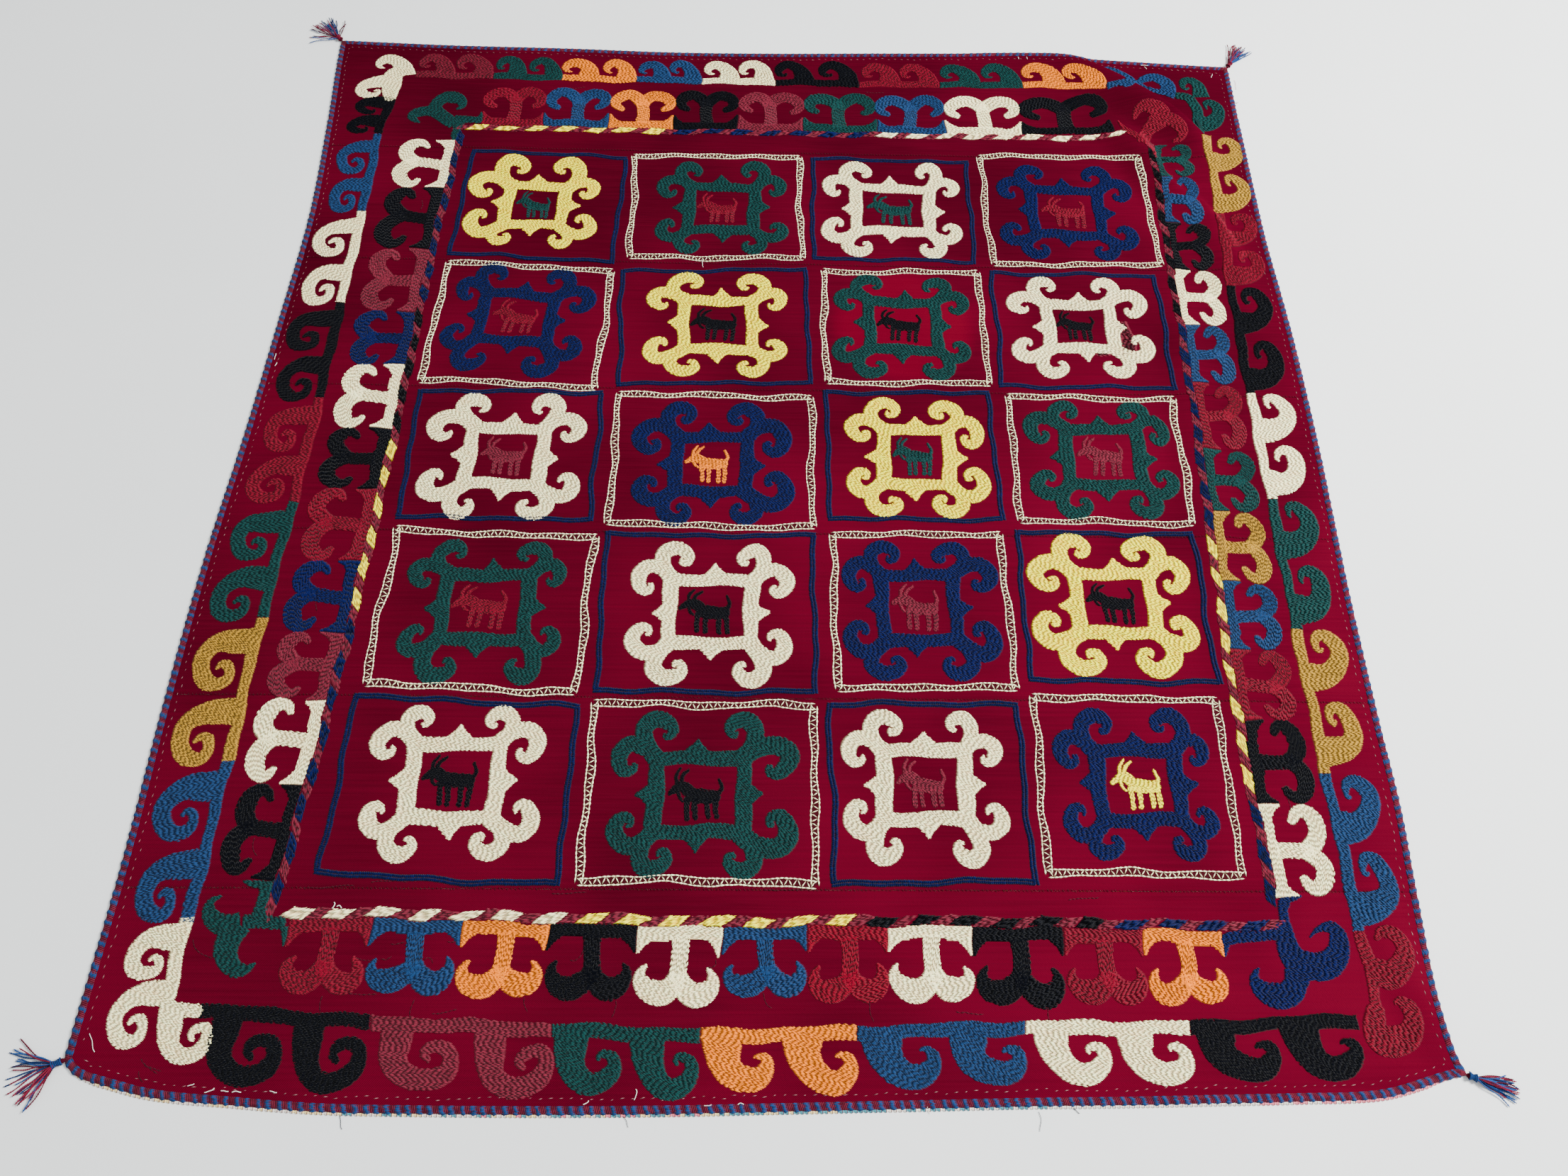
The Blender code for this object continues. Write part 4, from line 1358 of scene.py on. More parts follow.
def walk(points, pitch):
    """Even steps along a line of points: places and the directions there. The edge uses it too."""
    legs = np.hypot(*np.diff(points, axis=0).T)
    reached = np.concatenate([[0], np.cumsum(legs)])
    count = max(int(round(reached[-1] / pitch)), 1)
    at = np.linspace(0, reached[-1], count + 1)
    places = np.stack([np.interp(at, reached, points[:, k]) for k in range(2)], 1)
    way = np.gradient(places, axis=0)
    return places, way / np.hypot(way[:, 0], way[:, 1])[:, None]


def aside_of(way):
    return np.stack([-way[:, 1], way[:, 0]], 1)


def frame_sides(x, y, wide, tall, tilt):
    corners = Place(x, y, tilt).to_cloth(np.array([(-wide, tall), (wide, tall), (wide, -tall),
                                                   (-wide, -tall)], float))
    for first, second in zip(corners, np.roll(corners, -1, 0)):
        share = np.linspace(0, 1, 24)[:, None]
        line = first + (second - first) * share
        bend = 2.2 * np.sin(share * 7 + x + first[0]) * np.sin(share * math.pi)
        way = (second - first) / np.hypot(*(second - first))
        yield wobble(line + bend * np.array([-way[1], way[0]]))


def lattice(line):
    places, way = walk(line, LATTICE_PITCH)
    count = len(places)
    half = LATTICE_HALF * (1 + 0.22 * np.sin(np.arange(count) * 0.31) + chance.uniform(-0.1, 0.1, count))
    side = aside_of(way) * half[:, None]
    for hand in (-1, 1):
        rail = places + side * hand
        slip = way * RAIL_SLIP
        add_stitches("lattice", rail[:-1] - slip[:-1], rail[1:] + slip[1:], width=2.6, rise=1.5, dim=-0.3)
    zigzag = np.where((np.arange(count) % 2)[:, None] == 0, places - side, places + side)
    add_stitches("lattice", zigzag[:-1], zigzag[1:], width=1.8, rise=1.9, dim=-0.3)
    # A dark maroon strip under the lattice, painted shadow of the thick yarns, shows in its holes
    beds["maroon"].append((places + side * 0.95, places - side * 0.95))


def chain(line):
    places, way = walk(line, CHAIN_PITCH)
    side = aside_of(way) * CHAIN_HALF
    for hand in (-1, 1):
        add_stitches("navy", places - side * hand * 0.15, places + side * hand + way * CHAIN_REACH,
                     width=4.2, rise=1.5, dim=0.5)


for number, row in enumerate(FRAMES):
    white = (number // 4 + number) % 2 == 1
    for line in frame_sides(*row):
        (lattice if white else chain)(line)
print("frames:", len(FRAMES))

# %% [markdown]
# ## The wool itself
# Each colour's stitches become one piece. The yarn is matt and a little fuzzy, each stitch a bit lighter or
# darker than the next, with painted shade down between the stitches and on the beds. The shade of each
# stitch, and how much painted light each point gets, is held by the mesh.

# %% Wool finish and pieces
def wool_yarn(name, colour, dark=0.56, pale=1.3, between=0.36):
    finish = Finish(name + "_wool", 0.85, 0.04)
    where = finish.place()
    shade = finish.held("shade")
    height = finish.held("ridge")
    patches = finish.noise(where, 22.0, 2.0)
    fibres = finish.noise(finish.place((700, 700, 700)), 1.0, 2.0, 0.6)
    light = (shade * 0.7 + patches * 0.3).smooth(0.1, 0.9)
    body = finish.mix(light, shaded(colour, dark), shaded(colour, pale))
    body = finish.mix(fibres.smooth(0.35, 0.8) * 0.3, body, shaded(colour, pale + 0.15))
    # Painted shade: points with little painted light take the wool's dark colour between stitches
    finish.set("Base Color", finish.mix(height.smooth(0.0, 0.6), shaded(colour, between), body))
    finish.bump(fibres, FIBRE_DEPTH)
    return finish.material


def hold(mesh, **numbers):
    """Gives the mesh numbers by name, one for each point or one for all."""
    for name, values in numbers.items():
        held = mesh.attributes.new(name, "FLOAT", "POINT")
        values = np.broadcast_to(values, len(mesh.vertices))
        held.data.foreach_set("value", np.ascontiguousarray(values, dtype=np.float32))


def stitch_mesh(name, groups):
    flat, height, faces, shade, ridge = lozenges(groups)
    mesh = quick_mesh(name, on_cloth(flat, height), faces)
    hold(mesh, shade=shade, ridge=ridge)
    return mesh


def embroidery(colour):
    stitch = stitch_mesh(colour + "_embroidery", stitches[colour])
    shape = bmesh.new()
    shape.from_mesh(stitch)
    rounded = len(shape.faces)
    if beds[colour]:
        flat, height, faces = bed_mesh(colour, beds[colour])
        bed = quick_mesh(colour + "_bed", on_cloth(flat, height), faces)
        # The bed takes the wool's painted shade colour
        hold(bed, shade=0.4, ridge=BED_RIDGE)
        shape.from_mesh(bed)
        bpy.data.meshes.remove(bed)
    shape.to_mesh(stitch)
    shape.free()
    flat_map(stitch)
    piece = add_piece(colour + "_embroidery", stitch, wool_yarn(colour, *WOOLS[colour]))
    stitch.polygons.foreach_set("use_smooth", np.arange(len(stitch.polygons)) < rounded)
    return piece


needlework = [embroidery(colour) for colour in WOOLS if stitches[colour]]
for piece in needlework:
    piece.data.calc_loop_triangles()
    print(piece.name, len(piece.data.loop_triangles))

# %% [markdown]
# ## Lining
# The back is a printed cotton sheet, hidden here but for a rolled rim along the bottom edge, and its print
# is a guess: small blossoms in teal, yellow and pink on cream. It is a grid put on the outline as the strips
# are, and the blossoms are rings and dots round the points of a Voronoi pattern.

# %% Lining
PRINT_PITCH = 26.0
LINING_INSET = 1.2
LINING_ROWS = 110
# The lining rises less than the wool over it, and stays on the floor under the low parts of the folds
LINING_HANG = 2.5


def printed_cotton():
    finish = Finish("printed_cotton_cloth", 0.8)
    where = finish.place((1000 / PRINT_PITCH, 1000 / PRINT_PITCH, 0))
    cells = {"Vector": where, "Scale": 1.0, "Randomness": 0.35}
    near = finish.node("ShaderNodeTexVoronoi", {"voronoi_dimensions": "2D"}, cells)
    seed = finish.part(finish.node("ShaderNodeTexVoronoi", {"voronoi_dimensions": "2D"}, cells, 1), 0)
    weave = finish.noise(finish.place((900, 2400, 1)), 1.0, 1.0)
    stalks = finish.noise(where, 1.7, 1.0)
    cool = seed.over(0.33).mixed(dye(44, 138, 140), dye(226, 186, 84))
    petal = seed.over(0.66).mixed(dye(214, 92, 116), cool)
    leafy = stalks.over(0.58).mixed(dye(96, 140, 96), dye(236, 224, 200))
    flower = near.smooth(0.34, 0.3).mixed(petal, leafy)
    heart = near.smooth(0.12, 0.09).mixed(dye(150, 40, 60), flower)
    finish.set("Base Color", (weave.smooth(0.3, 0.8) * 0.25).mixed(dye(190, 176, 160), heart))
    finish.bump(weave, COTTON_DEPTH)
    return finish.material


def lining_piece():
    columns = shares((FOLDS_FROM, 60), (1.0, 46))
    rows = shares((1.0, LINING_ROWS))
    column, row = np.meshgrid(columns, rows)
    middle = edge_at("bottom", BOTTOM_LEFT[0] * (1 - column) + BOTTOM_RIGHT[0] * column)
    y = TOP_LEFT[1] * (1 - row) + middle * row
    for _ in range(2):
        x = x_between(y, column, LINING_INSET)
        y = (edge_at("top", x) - LINING_INSET) * (1 - row) + (edge_at("bottom", x) + LINING_INSET) * row
    z = np.maximum(folds(x, y) - LINING_HANG, 0) + LINING_TOP
    mesh = grid_mesh("lining_cloth", np.stack([x, y, z], 2))
    thicken(mesh, LINING_TOP)
    piece = add_piece("lining_cloth", mesh, printed_cotton())
    mesh.set_sharp_from_angle(angle=SHARP)
    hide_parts("lining")
    return piece


lining = lining_piece()
print("lining faces:", len(lining.data.polygons))

# %% [markdown]
# ## Whipped edge
# The edge is braided round with maroon yarn over a cord, and blue yarn floats over it in blocks, a few
# threads side by side. The core is one closed sweep with a rib for each maroon wrap, cut from a grid that is
# rolled up and welded. The blue floats are the same lozenges as the embroidery, laid on the core's arch.

# %% Edge tables
EDGE_RISE = 3.1
# Points round the core, from the braid's inner side over its top and back under it: share across, and how
# much of the rib it has. The last four lie under the braid, at these heights over the floor.
EDGE_SECTION = ((0.0, 0), (0.04, 0.5), (0.2, 1), (0.5, 1), (0.8, 1), (0.98, 1), (1.02, 0.5), (1.0, 0),
                (0.5, 0), (0.0, 0))
EDGE_UNDERSIDE = {6: 1.4, 7: 0.3, 8: LINING_TOP + 0.1, 9: LINING_TOP + 0.1}
RIB = 0.45
WRAP_PITCH = 2.1
WRAP_SLANT = 3.0
MITRE = 26.0
WELD = 1e-6
# How far each end of an edge is mitred, for which the bottom left corner is too round
MITRES = {"top": (1.0, 1.0), "bottom": (0.15, 1.0), "left": (0.15, 1.0), "right": (1.0, 1.0)}


def edge_walk(side, pitch):
    """Places along one edge of the cloth at an even pitch, with the way on and the way out there."""
    start, end, axis, hand = EDGES[side]
    along = np.linspace(start[axis], end[axis], 300)
    across = edge_at(side, along)
    places, way = walk(np.stack([along, across] if axis == 0 else [across, along], 1), pitch)
    return places, way, aside_of(way) * hand


def edge_point(places, way, out, slide, share, height, mitres):
    """A place on the braid: share 0 is its inner side and 1 the cloth's edge. The ends are mitred."""
    reached = np.concatenate([[0], np.cumsum(np.hypot(*np.diff(places, axis=0).T))])
    at = np.clip(reached[-1] * slide, 0, reached[-1])
    spot, on, off = (np.stack([np.interp(at, reached, rows[:, k]) for k in range(2)], -1)
                     for rows in (places, way, out))
    lean = np.clip(1 - at / MITRE, 0, 1) * mitres[0]
    lean = lean - np.clip(1 - (reached[-1] - at) / MITRE, 0, 1) * mitres[1]
    inward = (1 - share) * BRAID_WIDTH
    flat = spot - off * inward[..., None] + on * (lean * inward)[..., None]
    arch = 1 - np.abs(2 * np.clip(share, 0, 1) - 1) ** 2.6
    rise = LINING_TOP + GAP + EDGE_RISE * np.sqrt(np.clip(arch, 0, 1))
    z = folds(flat[..., 0], flat[..., 1]) + rise + height
    return np.stack([flat[..., 0], flat[..., 1], z], -1)


print("edges:", ", ".join(EDGES))


# %% Core and floats
def close_up(mesh):
    """Welds a rolled grid where its edges meet, and closes its ends."""
    shape = bmesh.new()
    shape.from_mesh(mesh)
    bmesh.ops.remove_doubles(shape, verts=shape.verts[:], dist=WELD)
    bmesh.ops.holes_fill(shape, edges=[edge for edge in shape.edges if edge.is_boundary])
    bmesh.ops.recalc_face_normals(shape, faces=shape.faces[:])
    shape.to_mesh(mesh)
    shape.free()


def edge_core(side):
    places, way, out = edge_walk(side, WRAP_PITCH)
    length = WRAP_PITCH * (len(places) - 1)
    steps = 2 * (len(places) - 1) + 1
    share, rib = np.array(EDGE_SECTION).T
    slide = np.linspace(0, 1, steps)[:, None] + (share - 0.5) * WRAP_SLANT / length * np.ones((steps, 1))
    rib = RIB * (np.arange(steps) % 2)[:, None] * rib
    points = edge_point(places, way, out, slide, np.broadcast_to(share, slide.shape), rib, MITRES[side])
    low = folds(points[:, :, 0], points[:, :, 1])
    for column, above in EDGE_UNDERSIDE.items():
        points[:, column, 2] = low[:, column] + above
    points = np.concatenate([points, points[:, :1]], 1)
    mesh = grid_mesh(side + "_core", points)
    # Painted light on the crest of each wrap, and painted shade in the grooves between
    hold(mesh, ridge=np.repeat(np.arange(steps) % 2, points.shape[1]))
    close_up(mesh)
    return mesh


BLOCK_PITCH = 12.6
# The blocks' middles keep this far from the edge's two ends
BLOCKS_INSIDE = (8, 6)
FLOAT_LENGTH = 9.6
# Where the threads of a block lie, as shares of the braid's width
FLOATS = (0.1, 0.29, 0.48, 0.67, 0.85, 0.99)
# The floats' ends get little painted light: painted shade where they tuck under the wraps
FLOAT_SIZES = {"width": 3.2, "rise": 0.9, "ends": 0.3}
FLOAT_LEAN = 0.25
FLOAT_SINK = 0.1
# The outermost thread's points never come nearer to the floor than this
FLOAT_LOWEST = 2.0


def edge_floats(side):
    places, way, out = edge_walk(side, WRAP_PITCH)
    length = WRAP_PITCH * (len(places) - 1)
    centres = np.arange(BLOCKS_INSIDE[0], length - BLOCKS_INSIDE[1], BLOCK_PITCH)
    centres = centres + chance.uniform(-1.3, 1.3, len(centres))
    lengths = FLOAT_LENGTH * chance.uniform(0.8, 1.2, len(centres))
    middle, share = (grid.ravel() for grid in np.meshgrid(centres, FLOATS, indexing="ij"))
    half = np.repeat(lengths, len(FLOATS)) / 2
    stagger = chance.uniform(-0.7, 0.7, len(middle)) + (share - 0.5) * WRAP_SLANT
    across = share * BRAID_WIDTH
    first = np.stack([middle + stagger - half, across + FLOAT_LEAN], 1)
    last = np.stack([middle + stagger + half, across - FLOAT_LEAN], 1)
    flat, height, faces, shade, ridge = lozenges([stitch_group(first, last, **FLOAT_SIZES)])
    across = flat[:, 1] / BRAID_WIDTH
    points = edge_point(places, way, out, flat[:, 0] / length, across, height - FLOAT_SINK, MITRES[side])
    outer = across > 0.9
    lowest = folds(points[outer, 0], points[outer, 1]) + FLOAT_LOWEST
    points[outer, 2] = np.maximum(points[outer, 2], lowest)
    mesh = quick_mesh(side + "_floats", (points + (*SHIFT, 0)) * MM, faces[:, ::EDGES[side][3]])
    hold(mesh, shade=shade, ridge=ridge)
    return mesh


def edge_piece(side, core_finish, float_finish):
    name = "braid_" + side
    core = edge_core(side)
    floats = edge_floats(side)
    for mesh, finish, kind in ((core, core_finish, "core"), (floats, float_finish, "floats")):
        flat_map(mesh)
        piece = add_piece(f"{name}_{kind}", mesh, finish)
        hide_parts(name)
    return len(core.polygons) * 2 + len(floats.polygons)


def core_yarn():
    finish = Finish("maroon_edge_yarn", 0.85, 0.04)
    where = finish.place()
    tone = finish.noise(where, 160.0, 2.0)
    fibres = finish.noise(where, 1600.0, 2.0)
    ridge = finish.held("ridge")
    wool = finish.mix(tone.smooth(0.3, 0.7), dye(78, 14, 32), dye(112, 32, 50))
    # Painted shade: the grooves between the wraps are dark, the crests take the wool's colour
    finish.set("Base Color", finish.mix(ridge.smooth(0.1, 0.8), dye(30, 6, 14), wool))
    finish.bump(fibres, FIBRE_DEPTH)
    return finish.material


float_yarn = wool_yarn("blue_edge", dye(17, 50, 92), 0.6, 1.3, 0.4)
maroon_yarn = core_yarn()
print("edge triangles:", [edge_piece(side, maroon_yarn, float_yarn) for side in EDGES])

# %% [markdown]
# ## Rolled rim
# Along the bottom edge the lining comes out from under the braid as a rolled rim, and dark thread ties it
# down every few millimetres, so it swells between the threads like beads.

# %% Rim
RIM_REACH = 4.2
RIM_HEIGHT = 2.3
BEAD_PITCH = 5.8
BEAD_STEPS = 5
RIM_START = 8.0
RIM_SECTION = ((0.0, 0.05), (0.0, 0.9), (0.35, 1.0), (0.75, 0.8), (1.0, 0.4), (0.8, 0.05))
TIE_DYE = dye(88, 26, 44)
# The print's colours as they come by on the rim: colour, and from and to which share of the way along
RIM_TINTS = ((dye(226, 128, 138), 0.0, 0.16), (dye(232, 224, 210), 0.08, 0.42),
             (dye(70, 140, 150), 0.3, 0.8), (dye(236, 214, 150), 0.45, 1.0), (dye(222, 120, 130), 0.55, 0.7),
             (dye(228, 220, 205), 0.6, 1.0))


def rim_piece():
    places, _, out = edge_walk("bottom", BEAD_PITCH / BEAD_STEPS)
    skipped = int(RIM_START / BEAD_PITCH * BEAD_STEPS)
    places, out = places[skipped:-skipped], out[skipped:-skipped]
    number = np.arange(len(places))
    swell = 0.62 + 0.38 * np.sin(np.pi * (number % BEAD_STEPS) / BEAD_STEPS)
    taper = np.clip(np.minimum(number, number[::-1]) / 40, 0.3, 1)
    size = (swell * taper)[:, None]
    section = np.array(RIM_SECTION + RIM_SECTION[:1])
    reach = section[:, 0] * RIM_REACH * size - 0.6
    flat = places[:, None] + out[:, None] * reach[..., None]
    z = folds(flat[..., 0], flat[..., 1]) + section[:, 1] * RIM_HEIGHT * size
    points = np.concatenate([flat, z[..., None]], 2)
    mesh = grid_mesh("rolled_rim", points)
    bead = number // BEAD_STEPS
    along = bead / bead[-1]
    tints = []
    for share in np.unique(along):
        choices = [tint for tint, low, high in RIM_TINTS if low <= share <= high]
        tints.append(choices[chance.integers(len(choices))])
    tints = np.where((number % BEAD_STEPS == 0)[:, None], np.array(TIE_DYE), np.array(tints)[bead])
    held = mesh.attributes.new("tint", "FLOAT_COLOR", "POINT")
    held.data.foreach_set("color", np.repeat(tints, len(section), 0).astype(np.float32).ravel())
    close_up(mesh)
    flat_map(mesh)
    finish = Finish("rim_cotton", 0.8)
    cloth = finish.noise(finish.place(), 900.0, 1.0)
    tint = finish.node("ShaderNodeAttribute", {"attribute_name": "tint"}, {}, "Color")
    finish.set("Base Color", tint)
    finish.bump(cloth, COTTON_DEPTH)
    piece = add_piece("rolled_rim", mesh, finish.material)
    return piece


rim = rim_piece()
print("rim faces:", len(rim.data.polygons))

# %% [markdown]
# ## Yarns
# The tassels' yarns have two plies twisted round each other, and a loose thread is a single ply. Each ply is
# a thin tube, and one helper makes many at once, as rings of points along smooth paths.

# %% Yarns
TUBE_SIDES = 4


def across_paths(paths):
    """Two directions square to the way on, at each point of many paths: aside and up."""
    way = np.gradient(paths, axis=1)
    way /= np.linalg.norm(way, axis=2, keepdims=True)
    aside = np.cross(way, (0.0, 0.0, 1.0))
    aside /= np.maximum(np.linalg.norm(aside, axis=2, keepdims=True), 1e-6)
    return aside, np.cross(aside, way)


def tube_mesh(name, paths, radius):
    """Closed tubes of four sides along many paths, each an array of (steps, 3)."""
    count, steps, _ = paths.shape
    aside, up = across_paths(paths)
    turns = np.arange(TUBE_SIDES) * 2 * np.pi / TUBE_SIDES
    ring = aside[:, :, None] * np.cos(turns)[:, None] + up[:, :, None] * np.sin(turns)[:, None]
    points = paths[:, :, None] + ring * np.asarray(radius)[..., None, None]
    first = (np.arange(count)[:, None, None] * steps + np.arange(steps - 1)[:, None]) * TUBE_SIDES
    corner = np.arange(TUBE_SIDES)
    after = (corner + 1) % TUBE_SIDES
    sides = np.stack([first + corner, first + TUBE_SIDES + corner, first + TUBE_SIDES + after,
                      first + after], -1)
    starts = np.arange(count)[:, None] * steps * TUBE_SIDES
    near_caps = starts + corner
    far_caps = starts + (steps - 1) * TUBE_SIDES + (0, 3, 2, 1)
    faces = np.concatenate([sides.reshape(-1, 4), near_caps, far_caps])
    return quick_mesh(name, (points.reshape(-1, 3) + (*SHIFT, 0)) * MM, faces)


def twisted(paths, radius, turns):
    """Two plies round each path."""
    aside, up = across_paths(paths)
    share = np.linspace(0, 1, paths.shape[1])
    plies = []
    for ply in (0.0, math.pi):
        turn = (2 * np.pi * turns * share + ply)[None, :, None]
        plies.append(paths + (aside * np.cos(turn) + up * np.sin(turn)) * radius)
    return np.concatenate(plies)


def yarn_paths(corner, directions, lengths, start, steps, stack):
    """Paths that fan out from a corner and come down to lie on the floor."""
    count = len(directions)
    share = np.linspace(0, 1, steps)
    turn = np.radians(directions)[:, None] + np.radians(chance.normal(0, 9, count))[:, None] * share
    sway = 0.16 * np.sin(share * chance.uniform(4, 9, (count, 1)) + chance.uniform(0, 6, (count, 1)))
    step = (lengths - start)[:, None] / (steps - 1)
    way = np.stack([np.cos(turn + sway), np.sin(turn + sway)], 2) * step[..., None]
    first = np.stack([np.cos(np.radians(directions)), np.sin(np.radians(directions))], 1) * 1.6
    flat = np.cumsum(way, 1) - way[:, :1] + np.array(corner) + first[:, None]
    z = stack[:, None] * (1 - share) ** 1.2 + 1.2 + chance.uniform(0, 2.4, (count, 1)) * share
    return np.concatenate([flat, z[..., None]], 2)


print("a yarn has two plies of", TUBE_SIDES, "sides")

# %% [markdown]
# ## Tassels
# Each corner ends in a bunch of yarns, tied at the neck, that fan out over the floor. A table gives its
# direction, spread, length and share of blue. Hair could do it too, but meshes are exported as they are.

# %% Tassels
YARN_STEPS = 22
TWIST = 9.0
PLY_REACH = 0.55
PLY_RADIUS = 0.62
TIE_RADIUS = 0.95
TIE_TURNS = 6
TIE_STEPS = 72
TIE_HEIGHT = 4.4
# corner, direction (degrees), fan (degrees), longest, yarns, share of blue from one side to the other,
# length of the tie, and stray yarns as (direction, length, blue)
TASSELS = {
    "tassel_top_left": (TOP_LEFT, 132, 40, 76, 22, (0.35, 0.7), 7, (
        (176, 64, 0), (180, 60, 1), (171, 58, 0), (184, 62, 1), (108, 62, 1), (111, 56, 1), (92, 56, 0),
        (94, 50, 0))),
    "tassel_top_right": (TOP_RIGHT, 55, 34, 72, 32, (0.15, 0.9), 8, (
        (80, 50, 0), (84, 54, 0), (38, 56, 1), (72, 66, 0))),
    "tassel_bottom_right": (BOTTOM_RIGHT, -19, 30, 62, 32, (0.15, 0.85), 6, (
        (-3, 52, 0), (-6, 58, 0), (-36, 50, 1), (-32, 56, 1))),
    "tassel_bottom_left": (BOTTOM_LEFT, 205, 84, 68, 28, (0.15, 0.85), 9, (
        (160, 58, 0), (166, 66, 0), (243, 66, 1), (236, 60, 1))),
}


def tie_coil(neck, forward, tie):
    """The yarn that is wound round a tassel's head, as one path."""
    turns = np.linspace(0, 2 * np.pi * TIE_TURNS, TIE_STEPS)
    reach = np.linspace(-tie * 0.8, 5.0, TIE_STEPS)
    wide = 3.6 + 0.9 * np.cos(np.linspace(0, 2 * np.pi, TIE_STEPS))
    side = np.array([-forward[1], forward[0]])
    flat = neck + reach[:, None] * forward + (wide * np.cos(turns))[:, None] * side
    return np.concatenate([flat, (TIE_HEIGHT + wide * 0.75 * np.sin(turns))[:, None]], 1)[None]


def tassel(name, corner, direction, fan, longest, count, blues, tie, strays):
    lean = chance.permutation(np.linspace(-0.5, 0.5, count)) + chance.normal(0, 0.04, count)
    turn = math.radians(direction)
    forward = np.array([math.cos(turn), math.sin(turn)])
    neck = np.array(corner) + forward * tie
    directions = np.concatenate([direction + fan * lean, [row[0] for row in strays]])
    lengths = np.concatenate([longest * chance.uniform(0.72, 1.0, count), [row[1] for row in strays]])
    chances = blues[1] + (blues[0] - blues[1]) * (lean + 0.5)
    blue = np.concatenate([chance.uniform(0, 1, count) < chances, [row[2] for row in strays]]) > 0.5
    stack = chance.uniform(0.5, 5.6, len(directions))
    paths = yarn_paths(neck, directions, lengths, tie, YARN_STEPS, stack)
    plies = twisted(paths, PLY_REACH, TWIST)
    radius = np.full(plies.shape[:2], PLY_RADIUS)
    radius[:, -1] = 0.25
    wool = tube_mesh(name + "_yarns", plies, radius)
    for kind, each in (("blue", blue), ("shade", chance.uniform(0, 1, len(blue)))):
        hold(wool, **{kind: np.repeat(np.tile(each, 2), YARN_STEPS * TUBE_SIDES)})
    coil = tie_coil(neck, forward, tie)
    wrap = tube_mesh(name + "_wrap", coil, np.full(coil.shape[:2], TIE_RADIUS))
    hold(wrap, blue=0.0 if "top" in name else 1.0, shade=0.4)
    shape = bmesh.new()
    shape.from_mesh(wool)
    shape.from_mesh(wrap)
    core = bmesh.ops.create_icosphere(shape, subdivisions=2, radius=1.0)["verts"]
    place = (Matrix.Translation(Vector((*(neck + SHIFT - forward * tie * 0.3), 3.5)) * MM)
             @ Matrix.Rotation(turn, 4, "Z") @ Matrix.Diagonal((tie * 0.0011, 0.0036, 0.0028, 1)))
    bmesh.ops.transform(shape, matrix=place, verts=core)
    shape.to_mesh(wool)
    shape.free()
    bpy.data.meshes.remove(wrap)
    piece = add_piece(name + "_yarns", wool, TASSEL_YARN)
    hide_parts(name)
    return len(wool.polygons) * 2


def tassel_yarn():
    finish = Finish("tassel_wool", 0.85, 0.04)
    blue = finish.held("blue")
    shade = finish.held("shade")
    fuzz = finish.noise(finish.place(), 800.0, 2.0)
    light = (shade * 0.6 + fuzz * 0.4).smooth(0.2, 0.8)
    blues = finish.mix(light, dye(12, 30, 66), dye(34, 72, 128))
    reds = finish.mix(light, dye(58, 5, 22), dye(124, 28, 52))
    finish.set("Base Color", finish.mix(blue.over(0.5), reds, blues))
    finish.bump(fuzz, FIBRE_DEPTH)
    return finish.material


TASSEL_YARN = tassel_yarn()
print("tassel faces:", [tassel(name, *row) for name, row in TASSELS.items()])

# %% [markdown]
# ## Small stitches and threads
# A line of pale running stitches holds the lining just inside the edge, dark red whip stitches close each
# seam, and a few threads were left hanging. They are the same lozenges and yarns again.

# %% Running stitches and seams
RUNNING_IN = 17.0
RUNNING_PITCH = 12.0
SEAM_PITCH = 5.2


def flat_piece(name, groups, colour):
    mesh = stitch_mesh(name, groups)
    flat_map(mesh)
    add_piece(name, mesh, colour)


def running_stitches():
    groups = []
    for side in EDGES:
        places, way, out = (rows[2:-2] for rows in edge_walk(side, RUNNING_PITCH))
        count = len(places)
        middle = places - out * (RUNNING_IN + chance.normal(0, 1.0, (count, 1)))
        half = way * chance.uniform(1.6, 3.4, (count, 1)) - out * chance.uniform(0.2, 1.0, (count, 1))
        groups.append(stitch_group(middle - half, middle + half, 1.0, 0.5))
    return groups


def seam_stitches():
    groups = []
    for number in range(STRIP_COUNT - 1):
        y = FIRST_SEAM - STRIP_WIDTH * number
        x = np.arange(edge_at("left", y) + 16, edge_at("right", y) - 16, SEAM_PITCH)
        x = x + chance.uniform(-0.8, 0.8, len(x))
        middle = np.stack([x, np.full(len(x), y) + chance.normal(0, 0.25, len(x))], 1)
        half = np.stack([np.full(len(x), 1.1), np.full(len(x), -2.0)], 1)
        groups.append(stitch_group(middle - half, middle + half, 1.1, 0.35))
    return groups


flat_piece("running_stitch", running_stitches(), wool_yarn("pale_thread", dye(132, 96, 98)))
flat_piece("seam_stitch", seam_stitches(), wool_yarn("crimson_thread", dye(60, 4, 18)))
print("running stitches and seams sewn")

